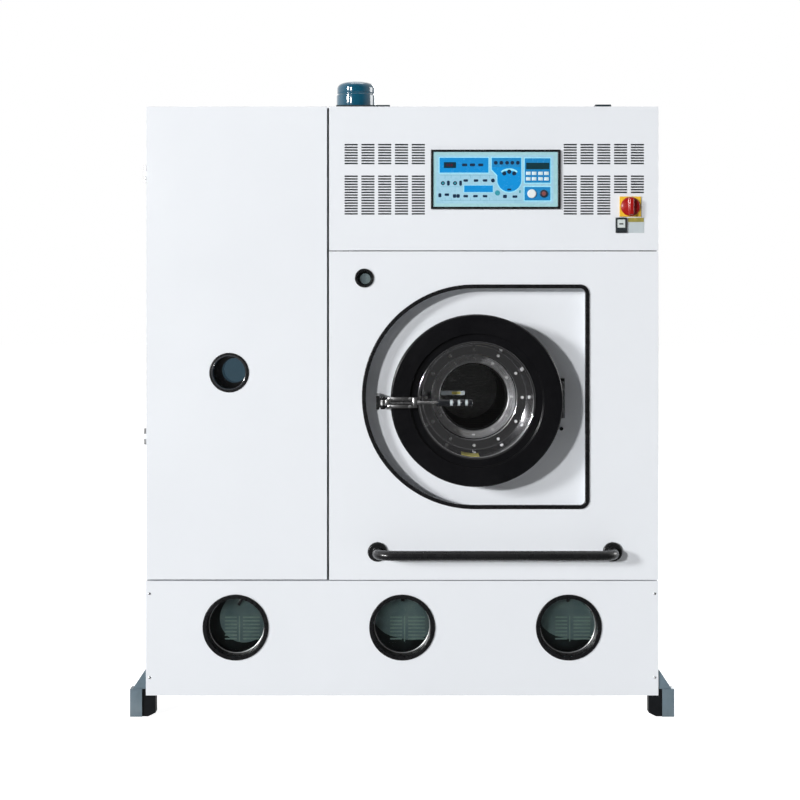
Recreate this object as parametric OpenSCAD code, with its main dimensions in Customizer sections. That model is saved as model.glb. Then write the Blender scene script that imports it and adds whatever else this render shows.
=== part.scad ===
// Closed-circuit dry cleaning machine. Its front faces -Y, its feet stand on z = 0, and the origin is the
// middle of its footprint. Modules are written from the cabinet's front face: y = 0 there, y grows inwards.

/* [Cabinet] */
// Width of the cabinet over its side panels
cab_w = 1680; // [1660:5:1780]
// Height of the cabinet's top above the floor
cab_h = 2000; // [1980:5:2100]
// Depth of the cabinet from its front face to its rear face
cab_d = 1300; // [1280:5:1400]
// Height of the front panels' lower edge above the floor
ground_gap = 70; // [60:1:80]
// Thickness of the sheet metal
sheet_t = 2; // [1.5:0.5:3]
// Depth of the folded edge round each front panel
fold_d = 25; // [20:1:30]
// Gap between two front panels
seam = 3; // [2:0.5:4]
// Height of the seam above the lower band
band_top = 447; // [440:1:460]
// Height of the header panel
header_h = 473; // [460:1:480]
// Distance from the left side to the gap beside the service door
split_w = 597; // [590:1:605]
// Width of the gap beside the service door
door_gap = 7; // [5:1:9]
// Width of a square frame tube
tube_w = 50; // [40:5:50]
// Height of the base frame's rails
rail_h = 80; // [70:5:80]

/* [Feet] */
// Width of a foot's outer box
foot_w = 40; // [36:1:44]
// Height of a foot's outer box
foot_h = 91; // [86:1:100]
// How far a foot reaches out past the cabinet's side
foot_reach = 52; // [48:1:60]
// Length of a foot from front to back
foot_len = 40; // [36:2:60]
// Width of the foot's block under the cabinet
foot_block_w = 43; // [38:1:50]
// Diameter of the anchor bolt's hole in a foot
anchor_d = 14; // [10:1:18]
// Height of the stiffening plate above a foot's outer box
gusset_h = 62; // [50:1:70]

/* [Louvres] */
// Length of a louvre slot
slot_w = 43; // [38:1:48]
// Height of a louvre slot
slot_h = 5; // [3:0.5:6]
// Distance between two louvre columns
slot_pitch_x = 55; // [53:1:56]
// Distance between two louvre rows
slot_pitch_z = 8.8; // [8:0.2:9]
// Number of louvre rows in the upper block
upper_rows = 8; // [4:1:9]
// Number of louvre rows in the lower block
lower_rows = 15; // [10:1:16]

/* [Service door] */
// Distance from the door's left edge to the middle of its porthole
port_inset = 271; // [240:1:300]
// Height of the porthole's middle above the floor
port_z = 1128; // [1000:2:1200]
// Outer radius of the porthole's rubber ring
port_r = 65; // [55:1:75]
// Radius of a hinge knuckle of the service door
knuckle_r = 5; // [4.5:0.5:6]
// Height of a hinge knuckle of the service door
knuckle_h = 53; // [45:1:60]
// Distance from the cabinet's top down to the upper hinge
upper_hinge_drop = 220; // [150:5:300]
// Height of the lower hinge above the floor
lower_hinge_z = 918; // [800:5:1000]

/* [Loading port] */
// Distance from the service door's gap to the drum's axis
drum_inset = 484; // [478:1:492]
// Height of the drum's axis above the floor
drum_z = 1041; // [1030:1:1050]
// Outer radius of the rubber edge's round left side
trim_r = 368; // [360:1:376]
// Distance from the round side's middle to the straight right side
trim_right = 377; // [370:1:385]
// Rise of the rubber edge's middle above the drum's axis
trim_rise = 8; // [0:1:12]
// Width of the rubber edge
trim_w = 13; // [10:1:16]
// Depth of the recess round the loading door
recess_d = 55; // [50:1:65]
// Radius of the recess's two right-hand corners
corner_r = 30; // [25:1:40]

/* [Loading door] */
// Outer radius of the door's black ring
ring_r = 279; // [270:1:285]
// How far the ring's front face stands out from the cabinet
ring_out = 80; // [76:1:90]
// Thickness of the ring's rim
ring_t = 40; // [34:1:44]
// Outer radius of the steel bowl's rim
bowl_r = 191; // [186:1:194]
// Radius of the ring that clamps the glass
glass_ring_r = 141; // [136:1:146]
// Radius of the glass that shows
glass_r = 116; // [108:1:120]
// Depth of the glass behind the cabinet's front face
glass_depth = 138; // [120:1:145]
// Number of bolts in each bolt ring
bolt_count = 12; // [8:1:16]
// Radius of the hinge barrel
barrel_r = 14; // [12:0.5:16]
// Height of the hinge barrel with its ears
barrel_h = 119; // [100:1:130]

/* [Latch] */
// Height of the latch lever's middle below the drum's axis
latch_drop = 5; // [0:1:10]
// Distance from the lever's pivot to the ring's left edge
pivot_out = 24; // [22:1:30]
// Length of the latch lever from its pivot to the end of its grip
latch_len = 288; // [270:1:300]
// Length of the ribbed grip
grip_len = 72; // [60:1:90]
// Length of the sleeve in front of the grip
sleeve_len = 44; // [36:1:50]
// Radius of the grip
grip_r = 13.5; // [11:0.5:15]

/* [Controls] */
// Width of the control panel's frame
control_w = 423; // [400:1:430]
// Height of the control panel's frame
control_h = 194; // [180:1:200]
// Distance from the cabinet's top down to the control panel's middle
control_drop = 239; // [230:1:250]
// Distance from the service door's gap to the control panel's left edge
control_inset = 337; // [325:1:340]
// Width of the control panel's black frame
bezel_w = 7; // [5:0.5:9]
// Radius of the start button
start_r = 14.5; // [12:0.5:15]
// Radius of the stop button
stop_r = 13; // [11:0.5:14]
// Travel of the start and stop buttons
button_travel = 3; // [2:0.5:4]
// Side of the main switch's square plate
switch_plate_w = 70; // [66:1:74]
// Radius of the main switch's knob
switch_r = 31.5; // [28:0.5:32]
// Distance from the cabinet's top down to the main switch
switch_drop = 328; // [300:1:332]
// Distance from the cabinet's right side to the main switch
switch_inset = 93; // [85:1:100]

/* [Handrail] */
// Diameter of the handrail's tube
rail_d = 32; // [26:1:36]
// Distance between the handrail's two flanges
rail_span = 770; // [700:5:800]
// Height of the handrail above the floor
rail_z = 541; // [520:1:560]
// How far the handrail's middle stands out from the panel
rail_out = 80; // [70:1:95]
// Radius of a handrail flange
rail_flange_r = 32; // [28:0.5:34]

/* [Tank windows] */
// Outer radius of a tank window's ring
window_r = 108; // [100:1:112]
// Distance between two tank windows in thousandths of the cabinet's width
window_share = 325; // [315:1:335]
// Height of the tank windows above the floor
window_z = 293; // [285:1:300]
// Width of a tank window's ring
window_rim = 14; // [10:1:18]
// Depth of a tank window's glass behind the front
window_depth = 40; // [30:1:50]

/* [Small sight glass] */
// Outer radius of the small sight glass's ring
sight_r = 31; // [26:1:34]
// Distance from the service door's gap to the small sight glass
sight_inset = 119; // [110:1:130]
// Height of the small sight glass above the floor
sight_z = 1438; // [1420:1:1450]

/* [Drum] */
// Outer radius of the fixed tub
tub_r = 425; // [410:1:430]
// Length of the fixed tub
tub_len = 500; // [480:5:520]
// Thickness of the tub's wall
tub_t = 4; // [3:0.5:5]
// Gap between the turning drum and the tub's wall
drum_gap = 21; // [19:1:36]
// Radius of the loading mouth
mouth_r = 206; // [203:1:210]
// Radius of the drum's shaft
shaft_r = 30; // [25:1:35]
// Radius of the drum's pulley
big_pulley_r = 240; // [200:5:260]
// Radius of the motor's pulley
small_pulley_r = 60; // [50:1:70]

/* [Fan] */
// Radius of the fan motor's body
motor_r = 68; // [60:0.5:70]
// Height of the fan motor above its box
motor_h = 86; // [70:1:100]
// Height of the fan's box above the cabinet's top
fan_box_h = 31; // [25:1:50]
// Distance from the cabinet's front to the fan motor
fan_y = 275; // [240:5:320]
// Distance from the service door's gap to the fan motor
fan_inset = 85; // [80:1:95]

/* [Hidden] */
fit = 0.3;             // gap between pieces that are held but not pressed together
running = 0.05;        // radial gap of a turning fit
left = -cab_w / 2;
right = cab_w / 2;
split_x = left + split_w;
panel_x0 = split_x + door_gap / 2;
door_x0 = left + sheet_t;
door_x1 = split_x - door_gap / 2;
header_z0 = cab_h - header_h;
frame_top = cab_h - sheet_t;
inner_l = left + sheet_t;
inner_r = right - sheet_t;
rear_y = cab_d - sheet_t;
post_end = fold_d + tube_w;
base_z0 = ground_gap + sheet_t;
base_z1 = base_z0 + rail_h;
mid_rail_h = 40;
mid_z0 = band_top + seam;
mid_z1 = mid_z0 + mid_rail_h;

// Loading port and door
drum_x = split_x + drum_inset;
trim_shift = 5;
trim_x = drum_x - trim_shift;
trim_z = drum_z + trim_rise;
panel_hole_in = 5;
trim_out = 6;
trim_lip = 12;
collar_t = 5;
collar_out = ring_out - ring_t - 12;
collar_flange_r = mouth_r + 20;
ring_back = ring_t - ring_out;
ring_bore_r = bowl_r - 4;
step_r = ring_r * 0.77;
step_d = 12;
bowl_t = 3;
bolt_face_y = glass_depth - 43;
bolt_face_r = glass_ring_r + 33;
outer_bolt_r = glass_ring_r + 19;
inner_bolt_r = (glass_r + glass_ring_r) / 2;
hinge_x = drum_x + ring_r - 6;
hinge_y = ring_back + barrel_r + 4;
pin_r = 6;
lug_h = barrel_h * 0.48;
ear_gap = 0.5;

// Latch lever
latch_x = drum_x - ring_r - pivot_out;
latch_y = -ring_out - 15;
latch_z = drum_z - latch_drop;
hub_r = 11;
hub_h = 18;
latch_pin_r = 5;
ear_t = 8;
bar_t = 12;
bar_mid = 12;
bar_depth = 18;
rod_r = 4;
collar_x = latch_x + latch_len / 3;
collar_w = 15;
grip_x1 = latch_x + latch_len;
grip_x0 = grip_x1 - grip_len;
sleeve_x0 = grip_x0 - sleeve_len;

// Front face fittings
window_pitch = cab_w * window_share / 1000;
port_x = door_x0 + port_inset;
port_lip = 12;
hinge_pin_r = knuckle_r / 2;
knuckle_x = door_x0 - knuckle_r - 0.5;
knuckle_y = 14;
door_stand = 0.5;
hinge_z = [lower_hinge_z, cab_h - upper_hinge_drop];
control_x = split_x + control_inset + control_w / 2;
control_z = cab_h - control_drop;
window_w = control_w - 2 * bezel_w;
window_h = control_h - 2 * bezel_w;
button_z = control_z - control_h / 2 + 50;
start_x = control_x + control_w / 2 - 92.5;
stop_x = start_x + 39;
switch_x = right - switch_inset;
switch_z = cab_h - switch_drop;
meter_x = switch_x - 30;
meter_z = switch_z - 61;
meter_w = 37;
meter_h = 50;
plate_x = switch_x + 19;
plate_w = 53;
slot_x0 = split_x + 76;
slot_x1 = control_x + control_w / 2 + 34;
slot_z = control_z + 114;
lower_slot_z = slot_z - 103.5;
short_rows = 7;
baffle_d = 20;
sight_x = split_x + sight_inset;
rail_x0 = split_x + 162;
rail_x1 = rail_x0 + rail_span;
rail_bend = rail_d * 1.3;

// Inside the cabinet
tub_y0 = 118;
tub_y1 = tub_y0 + tub_len;
cage_r = tub_r - tub_t - drum_gap;
hub_cover_r = cage_r * 0.2625;
cage_y0 = tub_y0 + tub_t + 14;
cage_y1 = tub_y1 - tub_t - 14;
shaft_y1 = tub_y1 + 307;
pulley_y = tub_y1 + 282;
pulley_w = 24;
groove_w = 16;
groove_d = 8;
belt_t = 9;
beam_y1 = tub_y0 + 62;
beam_y2 = tub_y1 - 78;
beam_y3 = tub_y1 + 282;
beams = [beam_y1, beam_y2, beam_y3, rear_y - tube_w];
plate_t = 8;
motor_x = drum_x + 330;
drive_motor_r = 85;
motor_z = mid_z1 + plate_t + drive_motor_r + 6;
tank_y0 = post_end + 1;
tank_y1 = tank_y0 + 924;
tank_t = 4;
glass_t = 6;
still_r = 210;
still_y = 430;
still_z0 = mid_z1 + 190;
still_z1 = still_z0 + 620;
still_glass_y = 166;
still_glass_r = 48;
cond_r = 110;
cond_z0 = still_z1 + 150;
drain_z = cond_z0 + 150;
cond_h = cab_h - cond_z0 - 150;
sep_w = 138;
sep_d = 140;
sep_z0 = cond_z0 - 70;
sep_h = 340;
vessel_t = 5;          // wall of the filter, the condenser and the separator
port_hole_r = 10;
filter_x = port_x + 150;
filter_y = rear_y - 208;
filter_r = 150;
filter_z1 = mid_z1 + 1000;
filter_neck_r = 70;
filter_neck_h = 50;
pump_x = inner_l + tube_w + 120;
pump_r = 90;
pump_z = mid_z1 + plate_t + pump_r;
feed_x = pump_x - pump_r + 20;
feed_z = pump_z + 300;
pipe_r = 13.5;
elbow_r = pipe_r + 2;
suction_y = beam_y2 + 326;
outlet_h = 130;
fan_x = split_x + fan_inset;
fan_r = 120;
scroll_r = 150;
scroll_z0 = cab_h - 210;
duct_z0 = cab_h - 200;
duct_z1 = cab_h - 40;
duct_d = 140;
duct_x1 = drum_x + 200;
fan_box_x = [fan_x - 67, fan_x + 117];
cable_x = switch_x - 64;
cable_y = 200;
cable_r = 12;
stub_out = 60;
union_r = 19;          // collar that holds a pipe end in the rear panel
union_out = 10;
stub_x = [for (i = [0:3]) right - 360 + 70 * i];
stub_z = mid_z1 + 130;

// The footprint's middle is the origin, so the cabinet's front face stands at front_y
front_reach = max(ring_out + 15 + grip_r, rail_out + rail_d / 2);
front_y = front_reach - (front_reach + cab_d + stub_out) / 2;
$fn = 72;

module in_frame() { translate([0, front_y, 0]) children(); }
module block(x, y, z) {
    translate([x[0], y[0], z[0]]) cube([x[1] - x[0], y[1] - y[0], z[1] - z[0]]);
}
// A round bar along Y from y[0] to y[1]
module bar_y(r, y) { translate([0, y[1], 0]) rotate([90, 0, 0]) cylinder(r = r, h = y[1] - y[0]); }
module tube_y(ro, ri, y) {
    difference() {
        bar_y(ro, y);
        bar_y(ri, [y[0] - 1, y[1] + 1]);
    }
}
// A turned shape about the Y axis from points [radius, y]
module turned_y(points) {
    rotate([90, 0, 0]) rotate_extrude($fn = 96) polygon([for (p = points) [p[0], -p[1]]]);
}
module at_xz(x, z) { translate([x, 0, z]) children(); }
module bar_x(r, x) { translate([x[0], 0, 0]) rotate([0, 90, 0]) cylinder(r = r, h = x[1] - x[0]); }
module bar_z(r, z) { translate([0, 0, z[0]]) cylinder(r = r, h = z[1] - z[0]); }
// A front panel with its edges folded back
module folded_panel(x, z, depth = fold_d) {
    difference() {
        block(x, [0, depth], z);
        block([x[0] + sheet_t, x[1] - sheet_t], [sheet_t, depth + 1], [z[0] + sheet_t, z[1] - sheet_t]);
    }
}
// Outline of the loading recess: round on the left, straight on the right
module recess_outline(inset) {
    r = trim_r - inset;
    side = trim_right - inset;
    corner = max(corner_r - inset, 2);
    circle(r = r, $fn = 144);
    translate([0, -r]) square([side - corner, 2 * r]);
    translate([0, corner - r]) square([side, 2 * (r - corner)]);
    for (s = [-1, 1]) translate([side - corner, s * (r - corner)]) circle(r = corner, $fn = 48);
}
module recess_solid(inset, y) {
    translate([trim_x, y[1], trim_z]) rotate([90, 0, 0]) linear_extrude(y[1] - y[0]) recess_outline(inset);
}

// ---- Frame and casing ----
module base_frame() {
    color("dimgray") in_frame() {
        rails = [inner_l, split_x - tube_w / 2, inner_r - tube_w];
        for (x = rails) block([x, x + tube_w], [fold_d, rear_y], [base_z0, base_z1]);
        for (y = [fold_d, (fold_d + rear_y - tube_w) / 2, rear_y - tube_w])
            block([inner_l, inner_r], [y, y + tube_w], [base_z0, base_z1]);
    }
}
module foot() {
    wall = 5;
    outer = foot_reach;
    inner = outer - foot_w;
    side = foot_block_w - inner;
    chamfer = [24, 12];
    difference() {
        union() {
            block([-outer, -inner], [0, foot_len], [0, foot_h]);
            block([-inner, side], [wall, foot_len], [0, ground_gap]);
            block([-inner, side], [fold_d, foot_len], [0, base_z0]);
            block([-inner, -sheet_t], [wall, foot_len], [0, foot_h]);
            translate([0, wall + 8, foot_h]) rotate([90, 0, 0]) linear_extrude(8)
                polygon([[-outer + 8, 0], [0, 0], [0, gusset_h], [-3, gusset_h]]);
        }
        block([-outer + wall, -inner - wall], [wall, foot_len + 1], [8, foot_h - wall]);
        translate([side, foot_len + 1, 0]) rotate([90, 0, 0]) linear_extrude(foot_len + 2)
            polygon([[-chamfer[0], -1], [-chamfer[0], 0], [0, chamfer[1]], [1, chamfer[1]], [1, -1]]);
        translate([-outer + foot_w / 2, foot_len * 0.6, -1]) cylinder(r = anchor_d / 2, h = 12);
    }
}
module feet() {
    color("slategray") in_frame() for (s = [0, 1], y = [0, rear_y - foot_len - 5])
        mirror([s, 0, 0]) translate([left, y, 0]) foot();
}
module upper_frame() {
    posts_x = [inner_l, split_x - tube_w / 2, inner_r - tube_w];
    posts_y = [fold_d, rear_y - tube_w];
    color("gray") in_frame() {
        for (x = posts_x, y = posts_y) block([x, x + tube_w], [y, y + tube_w], [base_z1, frame_top]);
        for (y = posts_y) block([inner_l, inner_r], [y, y + tube_w], [frame_top - tube_w, frame_top]);
        for (x = [posts_x[0], posts_x[2]]) {
            block([x, x + tube_w], [fold_d, rear_y], [frame_top - tube_w, frame_top]);
            block([x, x + tube_w], [fold_d, rear_y], [mid_z0, mid_z1]);
        }
        for (y = beams) block([inner_l, inner_r], [y, y + tube_w], [mid_z0, mid_z1]);
    }
}
module side_panel(x) {
    block([x, x + sheet_t], [fold_d + seam, cab_d], [base_z0, cab_h]);
}
module left_side_panel() { color("whitesmoke") in_frame() side_panel(left); }
module right_side_panel() { color("whitesmoke") in_frame() side_panel(inner_r); }
module rear_panel() {
    vent_w = 160;
    vent_h = 8;
    color("whitesmoke") in_frame() difference() {
        block([inner_l, inner_r], [rear_y, cab_d], [ground_gap, frame_top]);
        for (x = [-460, 260], i = [0:2], j = [0:9])
            block([x + i * 200 - vent_w, x + i * 200], [rear_y - 1, cab_d + 1],
                [header_z0 + 60 + j * 24, header_z0 + 60 + j * 24 + vent_h]);
        for (x = stub_x) at_xz(x, stub_z) bar_y(union_r + fit, [rear_y - 1, cab_d + 1]);
    }
}
module top_panel() {
    color("whitesmoke") in_frame() difference() {
        block([inner_l, inner_r], [fold_d + seam, rear_y], [frame_top, cab_h]);
        translate([fan_x, fan_y, frame_top - 1]) cylinder(r = 20, h = sheet_t + 2);
        translate([cable_x, cable_y, frame_top - 1]) cylinder(r = cable_r, h = sheet_t + 2);
    }
}
module divider_panel() {
    color("gainsboro") in_frame()
        block([split_x - sheet_t / 2, split_x + sheet_t / 2], [post_end, rear_y - tube_w],
            [mid_z1, scroll_z0 - 10]);
}
// One block of louvre slots
module slot_block(x0, z0, columns, rows) {
    for (i = [0:columns - 1], j = [0:rows - 1])
        translate([x0 + i * slot_pitch_x, sheet_t / 2, z0 - j * slot_pitch_z])
            cube([slot_w, sheet_t + 2, slot_h], center = true);
}
// A shallow tray that hides the machinery behind the louvres
module baffle(x, z) {
    difference() {
        block(x, [sheet_t / 2, baffle_d], z);
        block([x[0] + sheet_t, x[1] - sheet_t], [0, baffle_d - sheet_t], [z[0] + sheet_t, z[1] - sheet_t]);
    }
}
module header_panel() {
    edge = 7;
    x0 = -slot_w / 2 - edge;
    x1 = slot_w / 2 + edge;
    top = slot_z + slot_h / 2 + edge;
    bottom = lower_slot_z - (lower_rows - 1) * slot_pitch_z - slot_h / 2 - edge;
    split = lower_slot_z - (short_rows - 0.5) * slot_pitch_z;
    color("whitesmoke") in_frame() difference() {
        union() {
            folded_panel([panel_x0, right], [header_z0 + seam / 2, cab_h]);
            baffle([slot_x0 + x0, slot_x0 + 4 * slot_pitch_x + x1], [bottom, top]);
            baffle([slot_x1 + x0, slot_x1 + 4 * slot_pitch_x + x1], [split - sheet_t / 2, top]);
            baffle([slot_x1 + x0, slot_x1 + 2 * slot_pitch_x + x1 - 1], [bottom, split + sheet_t / 2]);
        }
        for (x = [slot_x0, slot_x1]) slot_block(x, slot_z, 5, upper_rows);
        slot_block(slot_x0, lower_slot_z, 5, lower_rows);
        slot_block(slot_x1, lower_slot_z, 3, lower_rows);
        slot_block(slot_x1 + 3 * slot_pitch_x, lower_slot_z, 2, short_rows);
        block([control_x - window_w / 2 + 2, control_x + window_w / 2 - 2], [-1, sheet_t + 1],
            [control_z - window_h / 2 + 2, control_z + window_h / 2 - 2]);
        at_xz(switch_x, switch_z) bar_y(8, [-1, sheet_t + 1]);
        block([meter_x - meter_w / 2 + 4, meter_x + meter_w / 2 - 4], [-1, sheet_t + 1],
            [meter_z - meter_h / 2 + 4, meter_z + meter_h / 2 - 4]);
    }
}
module middle_panel() {
    color("whitesmoke") in_frame() difference() {
        folded_panel([panel_x0, right], [band_top + seam / 2, header_z0 - seam / 2]);
        recess_solid(panel_hole_in, [-1, sheet_t + 1]);
        at_xz(sight_x, sight_z) bar_y(sight_r - 4 + fit, [-1, sheet_t + 1]);
    }
}
module lower_band() {
    color("whitesmoke") in_frame() difference() {
        folded_panel([left, right], [ground_gap, band_top - seam / 2]);
        for (i = [-1:1]) at_xz(i * window_pitch, window_z) bar_y(window_r - 4, [-1, sheet_t + 1]);
    }
}
module band_screws() {
    inset = 12;
    color("silver") in_frame() for (x = [left + inset, right - inset], z = [ground_gap + 59, band_top - 43])
        at_xz(x, z) turned_y([[0, -3], [2, -3], [4, -2], [4, 0], [0, 0]]);
}

// ---- Loading recess ----
module door_trim() {
    color("black") in_frame() difference() {
        union() {
            recess_solid(0, [-trim_out, 0]);
            recess_solid(panel_hole_in + fit, [0, trim_lip]);
        }
        recess_solid(trim_w, [-trim_out - 1, trim_lip + 1]);
    }
}
module door_recess() {
    color("white") in_frame() difference() {
        recess_solid(-sheet_t, [sheet_t, recess_d + sheet_t]);
        recess_solid(0, [sheet_t - 1, recess_d]);
        at_xz(drum_x, drum_z) bar_y(mouth_r + collar_t + fit, [0, recess_d + 10]);
    }
}
module mouth_collar() {
    color("darkgray") in_frame() at_xz(drum_x, drum_z) turned_y([[mouth_r, -collar_out],
        [collar_flange_r, -collar_out], [collar_flange_r, 6 - collar_out],
        [mouth_r + collar_t, 6 - collar_out], [mouth_r + collar_t, tub_y0], [mouth_r, tub_y0]]);
}
module loading_hinge_bracket() {
    base_t = 6;
    stop_z = -101;
    color([0.1, 0.1, 0.11]) in_frame() at_xz(hinge_x, drum_z) {
        for (s = [0, 1]) mirror([0, 0, s]) {
            translate([0, hinge_y, 0]) bar_z(barrel_r, [lug_h / 2 + ear_gap, barrel_h / 2]);
            block([-barrel_r, 4], [hinge_y, recess_d], [lug_h / 2 + ear_gap, barrel_h / 2]);
        }
        translate([0, hinge_y, 0]) bar_z(pin_r, [-barrel_h / 2, barrel_h / 2]);
        block([-20, 24], [recess_d - base_t, recess_d], [-barrel_h / 2 - 6, barrel_h / 2 + 6]);
        translate([13, 0, stop_z]) bar_y(6, [recess_d - base_t - 5, recess_d]);
    }
}
module latch_keeper() {
    color("black") in_frame()
        block([latch_x - hub_r - 11, latch_x - hub_r - 1], [latch_y - 5, recess_d],
            [latch_z - 22, latch_z + 22]);
}

// ---- Front fittings ----
module handrail() {
    color([0.08, 0.08, 0.08]) in_frame() translate([0, 0, rail_z]) {
        for (x = [rail_x0, rail_x1]) translate([x, 0, 0]) {
            turned_y([[0, 0], [rail_flange_r, 0], [rail_flange_r, -6], [rail_flange_r - 3, -9], [0, -9]]);
            bar_y(rail_d / 2, [rail_bend - rail_out, 0]);
        }
        for (s = [0, 1]) translate([s == 0 ? rail_x0 : rail_x1, rail_bend - rail_out, 0]) mirror([s, 0, 0])
            translate([rail_bend, 0, 0]) rotate([0, 0, 180]) rotate_extrude(angle = 90, $fn = 64)
                translate([rail_bend, 0]) circle(r = rail_d / 2, $fn = 48);
        translate([0, -rail_out, 0]) bar_x(rail_d / 2, [rail_x0 + rail_bend, rail_x1 - rail_bend]);
    }
}
module sight_bezel() {
    color("black") in_frame() at_xz(sight_x, sight_z) turned_y([[sight_r - 8, -5], [sight_r - 1, -5],
        [sight_r, -4], [sight_r, 0], [sight_r - 4, 0], [sight_r - 4, 64], [0, 64], [0, 60],
        [sight_r - 6, 60], [sight_r - 6, 12], [sight_r - 8, 12]]);
}
module sight_glasses() {
    color([0.7, 0.8, 0.8, 0.5]) in_frame() {
        at_xz(sight_x, sight_z) bar_y(sight_r - 6.1, [12, 12 + glass_t]);
        for (i = [-1:1]) at_xz(i * window_pitch, window_z)
            bar_y(window_r - window_rim + 3.8, [window_depth, window_depth + glass_t]);
        at_xz(port_x, port_z) bar_y(still_glass_r, [still_glass_y, still_glass_y + glass_t]);
    }
}
module window_bezels() {
    bore = window_r - window_rim;
    color("black") in_frame() for (i = [-1:1]) at_xz(i * window_pitch, window_z)
        turned_y([[bore + 1, -5], [window_r - 1.5, -5], [window_r, -3.5], [window_r, 0], [bore + 9, 0],
            [bore + 9, tank_y0], [bore + 4, tank_y0], [bore + 4, window_depth], [bore, window_depth],
            [bore, -4]]);
}
module level_scales() {
    scale_t = 1.5;
    y = window_depth + glass_t;
    color("darkseagreen") in_frame() for (i = [-1:1]) at_xz(i * window_pitch, window_z)
        bar_y(window_r - window_rim - 2, [y, y + scale_t]);
}
module solvent_tank() {
    x = [inner_l + tube_w + 2, inner_r - tube_w - 2];
    z = [base_z1, mid_z0 - 8];
    wall = window_pitch / 2;
    color("silver") in_frame() difference() {
        block(x, [tank_y0, tank_y1], z);
        for (c = [[x[0], -wall - tank_t], [-wall, wall - tank_t], [wall, x[1] - tank_t]])
            block([c[0] + tank_t, c[1]], [tank_y0 + tank_t, tank_y1 - tank_t],
                [z[0] + tank_t, z[1] - tank_t]);
        for (i = [-1:1]) at_xz(i * window_pitch, window_z)
            bar_y(window_r - window_rim + 2, [tank_y0 - 1, tank_y0 + tank_t + 1]);
    }
}
module control_bezel() {
    out = 9;
    color("black") in_frame() difference() {
        block([control_x - control_w / 2, control_x + control_w / 2], [-out, 0],
            [control_z - control_h / 2, control_z + control_h / 2]);
        block([control_x - window_w / 2, control_x + window_w / 2], [-out - 1, 1],
            [control_z - window_h / 2, control_z + window_h / 2]);
    }
}
module control_unit() {
    face = 5;
    color("deepskyblue") in_frame() difference() {
        union() {
            block([control_x - window_w / 2 + fit, control_x + window_w / 2 - fit], [-face, 0],
                [control_z - window_h / 2 + fit, control_z + window_h / 2 - fit]);
            block([control_x - window_w / 2 + 2 + fit, control_x + window_w / 2 - 2 - fit], [0, 60],
                [control_z - window_h / 2 + 2 + fit, control_z + window_h / 2 - 2 - fit]);
        }
        at_xz(start_x, button_z) bar_y(start_r + fit, [-face - 1, 12]);
        at_xz(stop_x, button_z) bar_y(stop_r + fit, [-face - 1, 12]);
    }
}
module switch_plate() {
    h = switch_plate_w / 2;
    color("gold") in_frame() at_xz(switch_x, switch_z) difference() {
        union() {
            block([-h, h], [-5, 0], [-h + 2, h - 2]);
            bar_y(7.5, [-1, sheet_t + 1]);
            block([-24, 24], [sheet_t, 50], [-24, 24]);
        }
        bar_y(5 + running, [-6, 30]);
    }
}
module hour_meter() {
    color([0.15, 0.15, 0.17]) in_frame() at_xz(meter_x, meter_z) {
        block([-meter_w / 2, meter_w / 2], [-8, 0], [-meter_h / 2, meter_h / 2]);
        block([-meter_w / 2 + 4.3, meter_w / 2 - 4.3], [0, 40], [-meter_h / 2 + 4.3, meter_h / 2 - 4.3]);
    }
}
module data_plate() {
    color("lightgray") in_frame()
        block([plate_x - plate_w / 2, plate_x + plate_w / 2], [-1, 0], [meter_z - 25, meter_z + 25]);
}

// ---- Drum and drive ----
module tub() {
    leg = 200;
    back_hole = shaft_r + 6;
    color("silver") in_frame() at_xz(drum_x, drum_z) {
        turned_y([[mouth_r, tub_y0], [tub_r, tub_y0], [tub_r, tub_y1], [back_hole, tub_y1],
            [back_hole, tub_y1 - tub_t], [tub_r - tub_t, tub_y1 - tub_t], [tub_r - tub_t, tub_y0 + tub_t],
            [mouth_r, tub_y0 + tub_t]]);
        for (y = [beam_y1, beam_y2]) difference() {
            block([-leg, leg], [y + 20, y + 30], [mid_z1 - drum_z, -tub_r / 2]);
            bar_y(tub_r - 1, [y, y + 50]);
        }
    }
}
module bearing_housing() {
    bore = shaft_r + 25;
    ring = 25;
    y1 = tub_y1 + 242;
    color("dimgray") in_frame() at_xz(drum_x, drum_z) {
        turned_y([[shaft_r + 8, tub_y1], [160, tub_y1], [160, tub_y1 + 16], [bore + 14, tub_y1 + 22],
            [bore + 14, y1], [bore, y1], [bore, tub_y1 + 16], [shaft_r + 8, tub_y1 + 16]]);
        for (y = [tub_y1 + 18, y1 - ring])
            tube_y(bore, shaft_r + running, [y, y + ring]);
    }
}
module drum_cage() {
    wall = 3;
    rib_h = 60;
    color("lightgray") in_frame() at_xz(drum_x, drum_z) {
        turned_y([[mouth_r + 9, cage_y0], [cage_r, cage_y0], [cage_r, cage_y1], [0, cage_y1],
            [0, cage_y1 - wall], [cage_r - wall, cage_y1 - wall], [cage_r - wall, cage_y0 + wall],
            [mouth_r + 9, cage_y0 + wall]]);
        bar_y(hub_cover_r, [cage_y1 - wall - 6, cage_y1 - 1]);
        for (a = [90, 210, 330]) rotate([0, a, 0])
            block([cage_r - rib_h, cage_r - 1], [cage_y0 + 1, cage_y1 - 1], [-12, 12]);
    }
}
module pulley(r, bore) {
    turned_y([[bore, pulley_y], [r, pulley_y], [r, pulley_y + (pulley_w - groove_w) / 2],
        [r - groove_d, pulley_y + (pulley_w - groove_w) / 2],
        [r - groove_d, pulley_y + (pulley_w + groove_w) / 2],
        [r, pulley_y + (pulley_w + groove_w) / 2], [r, pulley_y + pulley_w], [bore, pulley_y + pulley_w]]);
}
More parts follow.
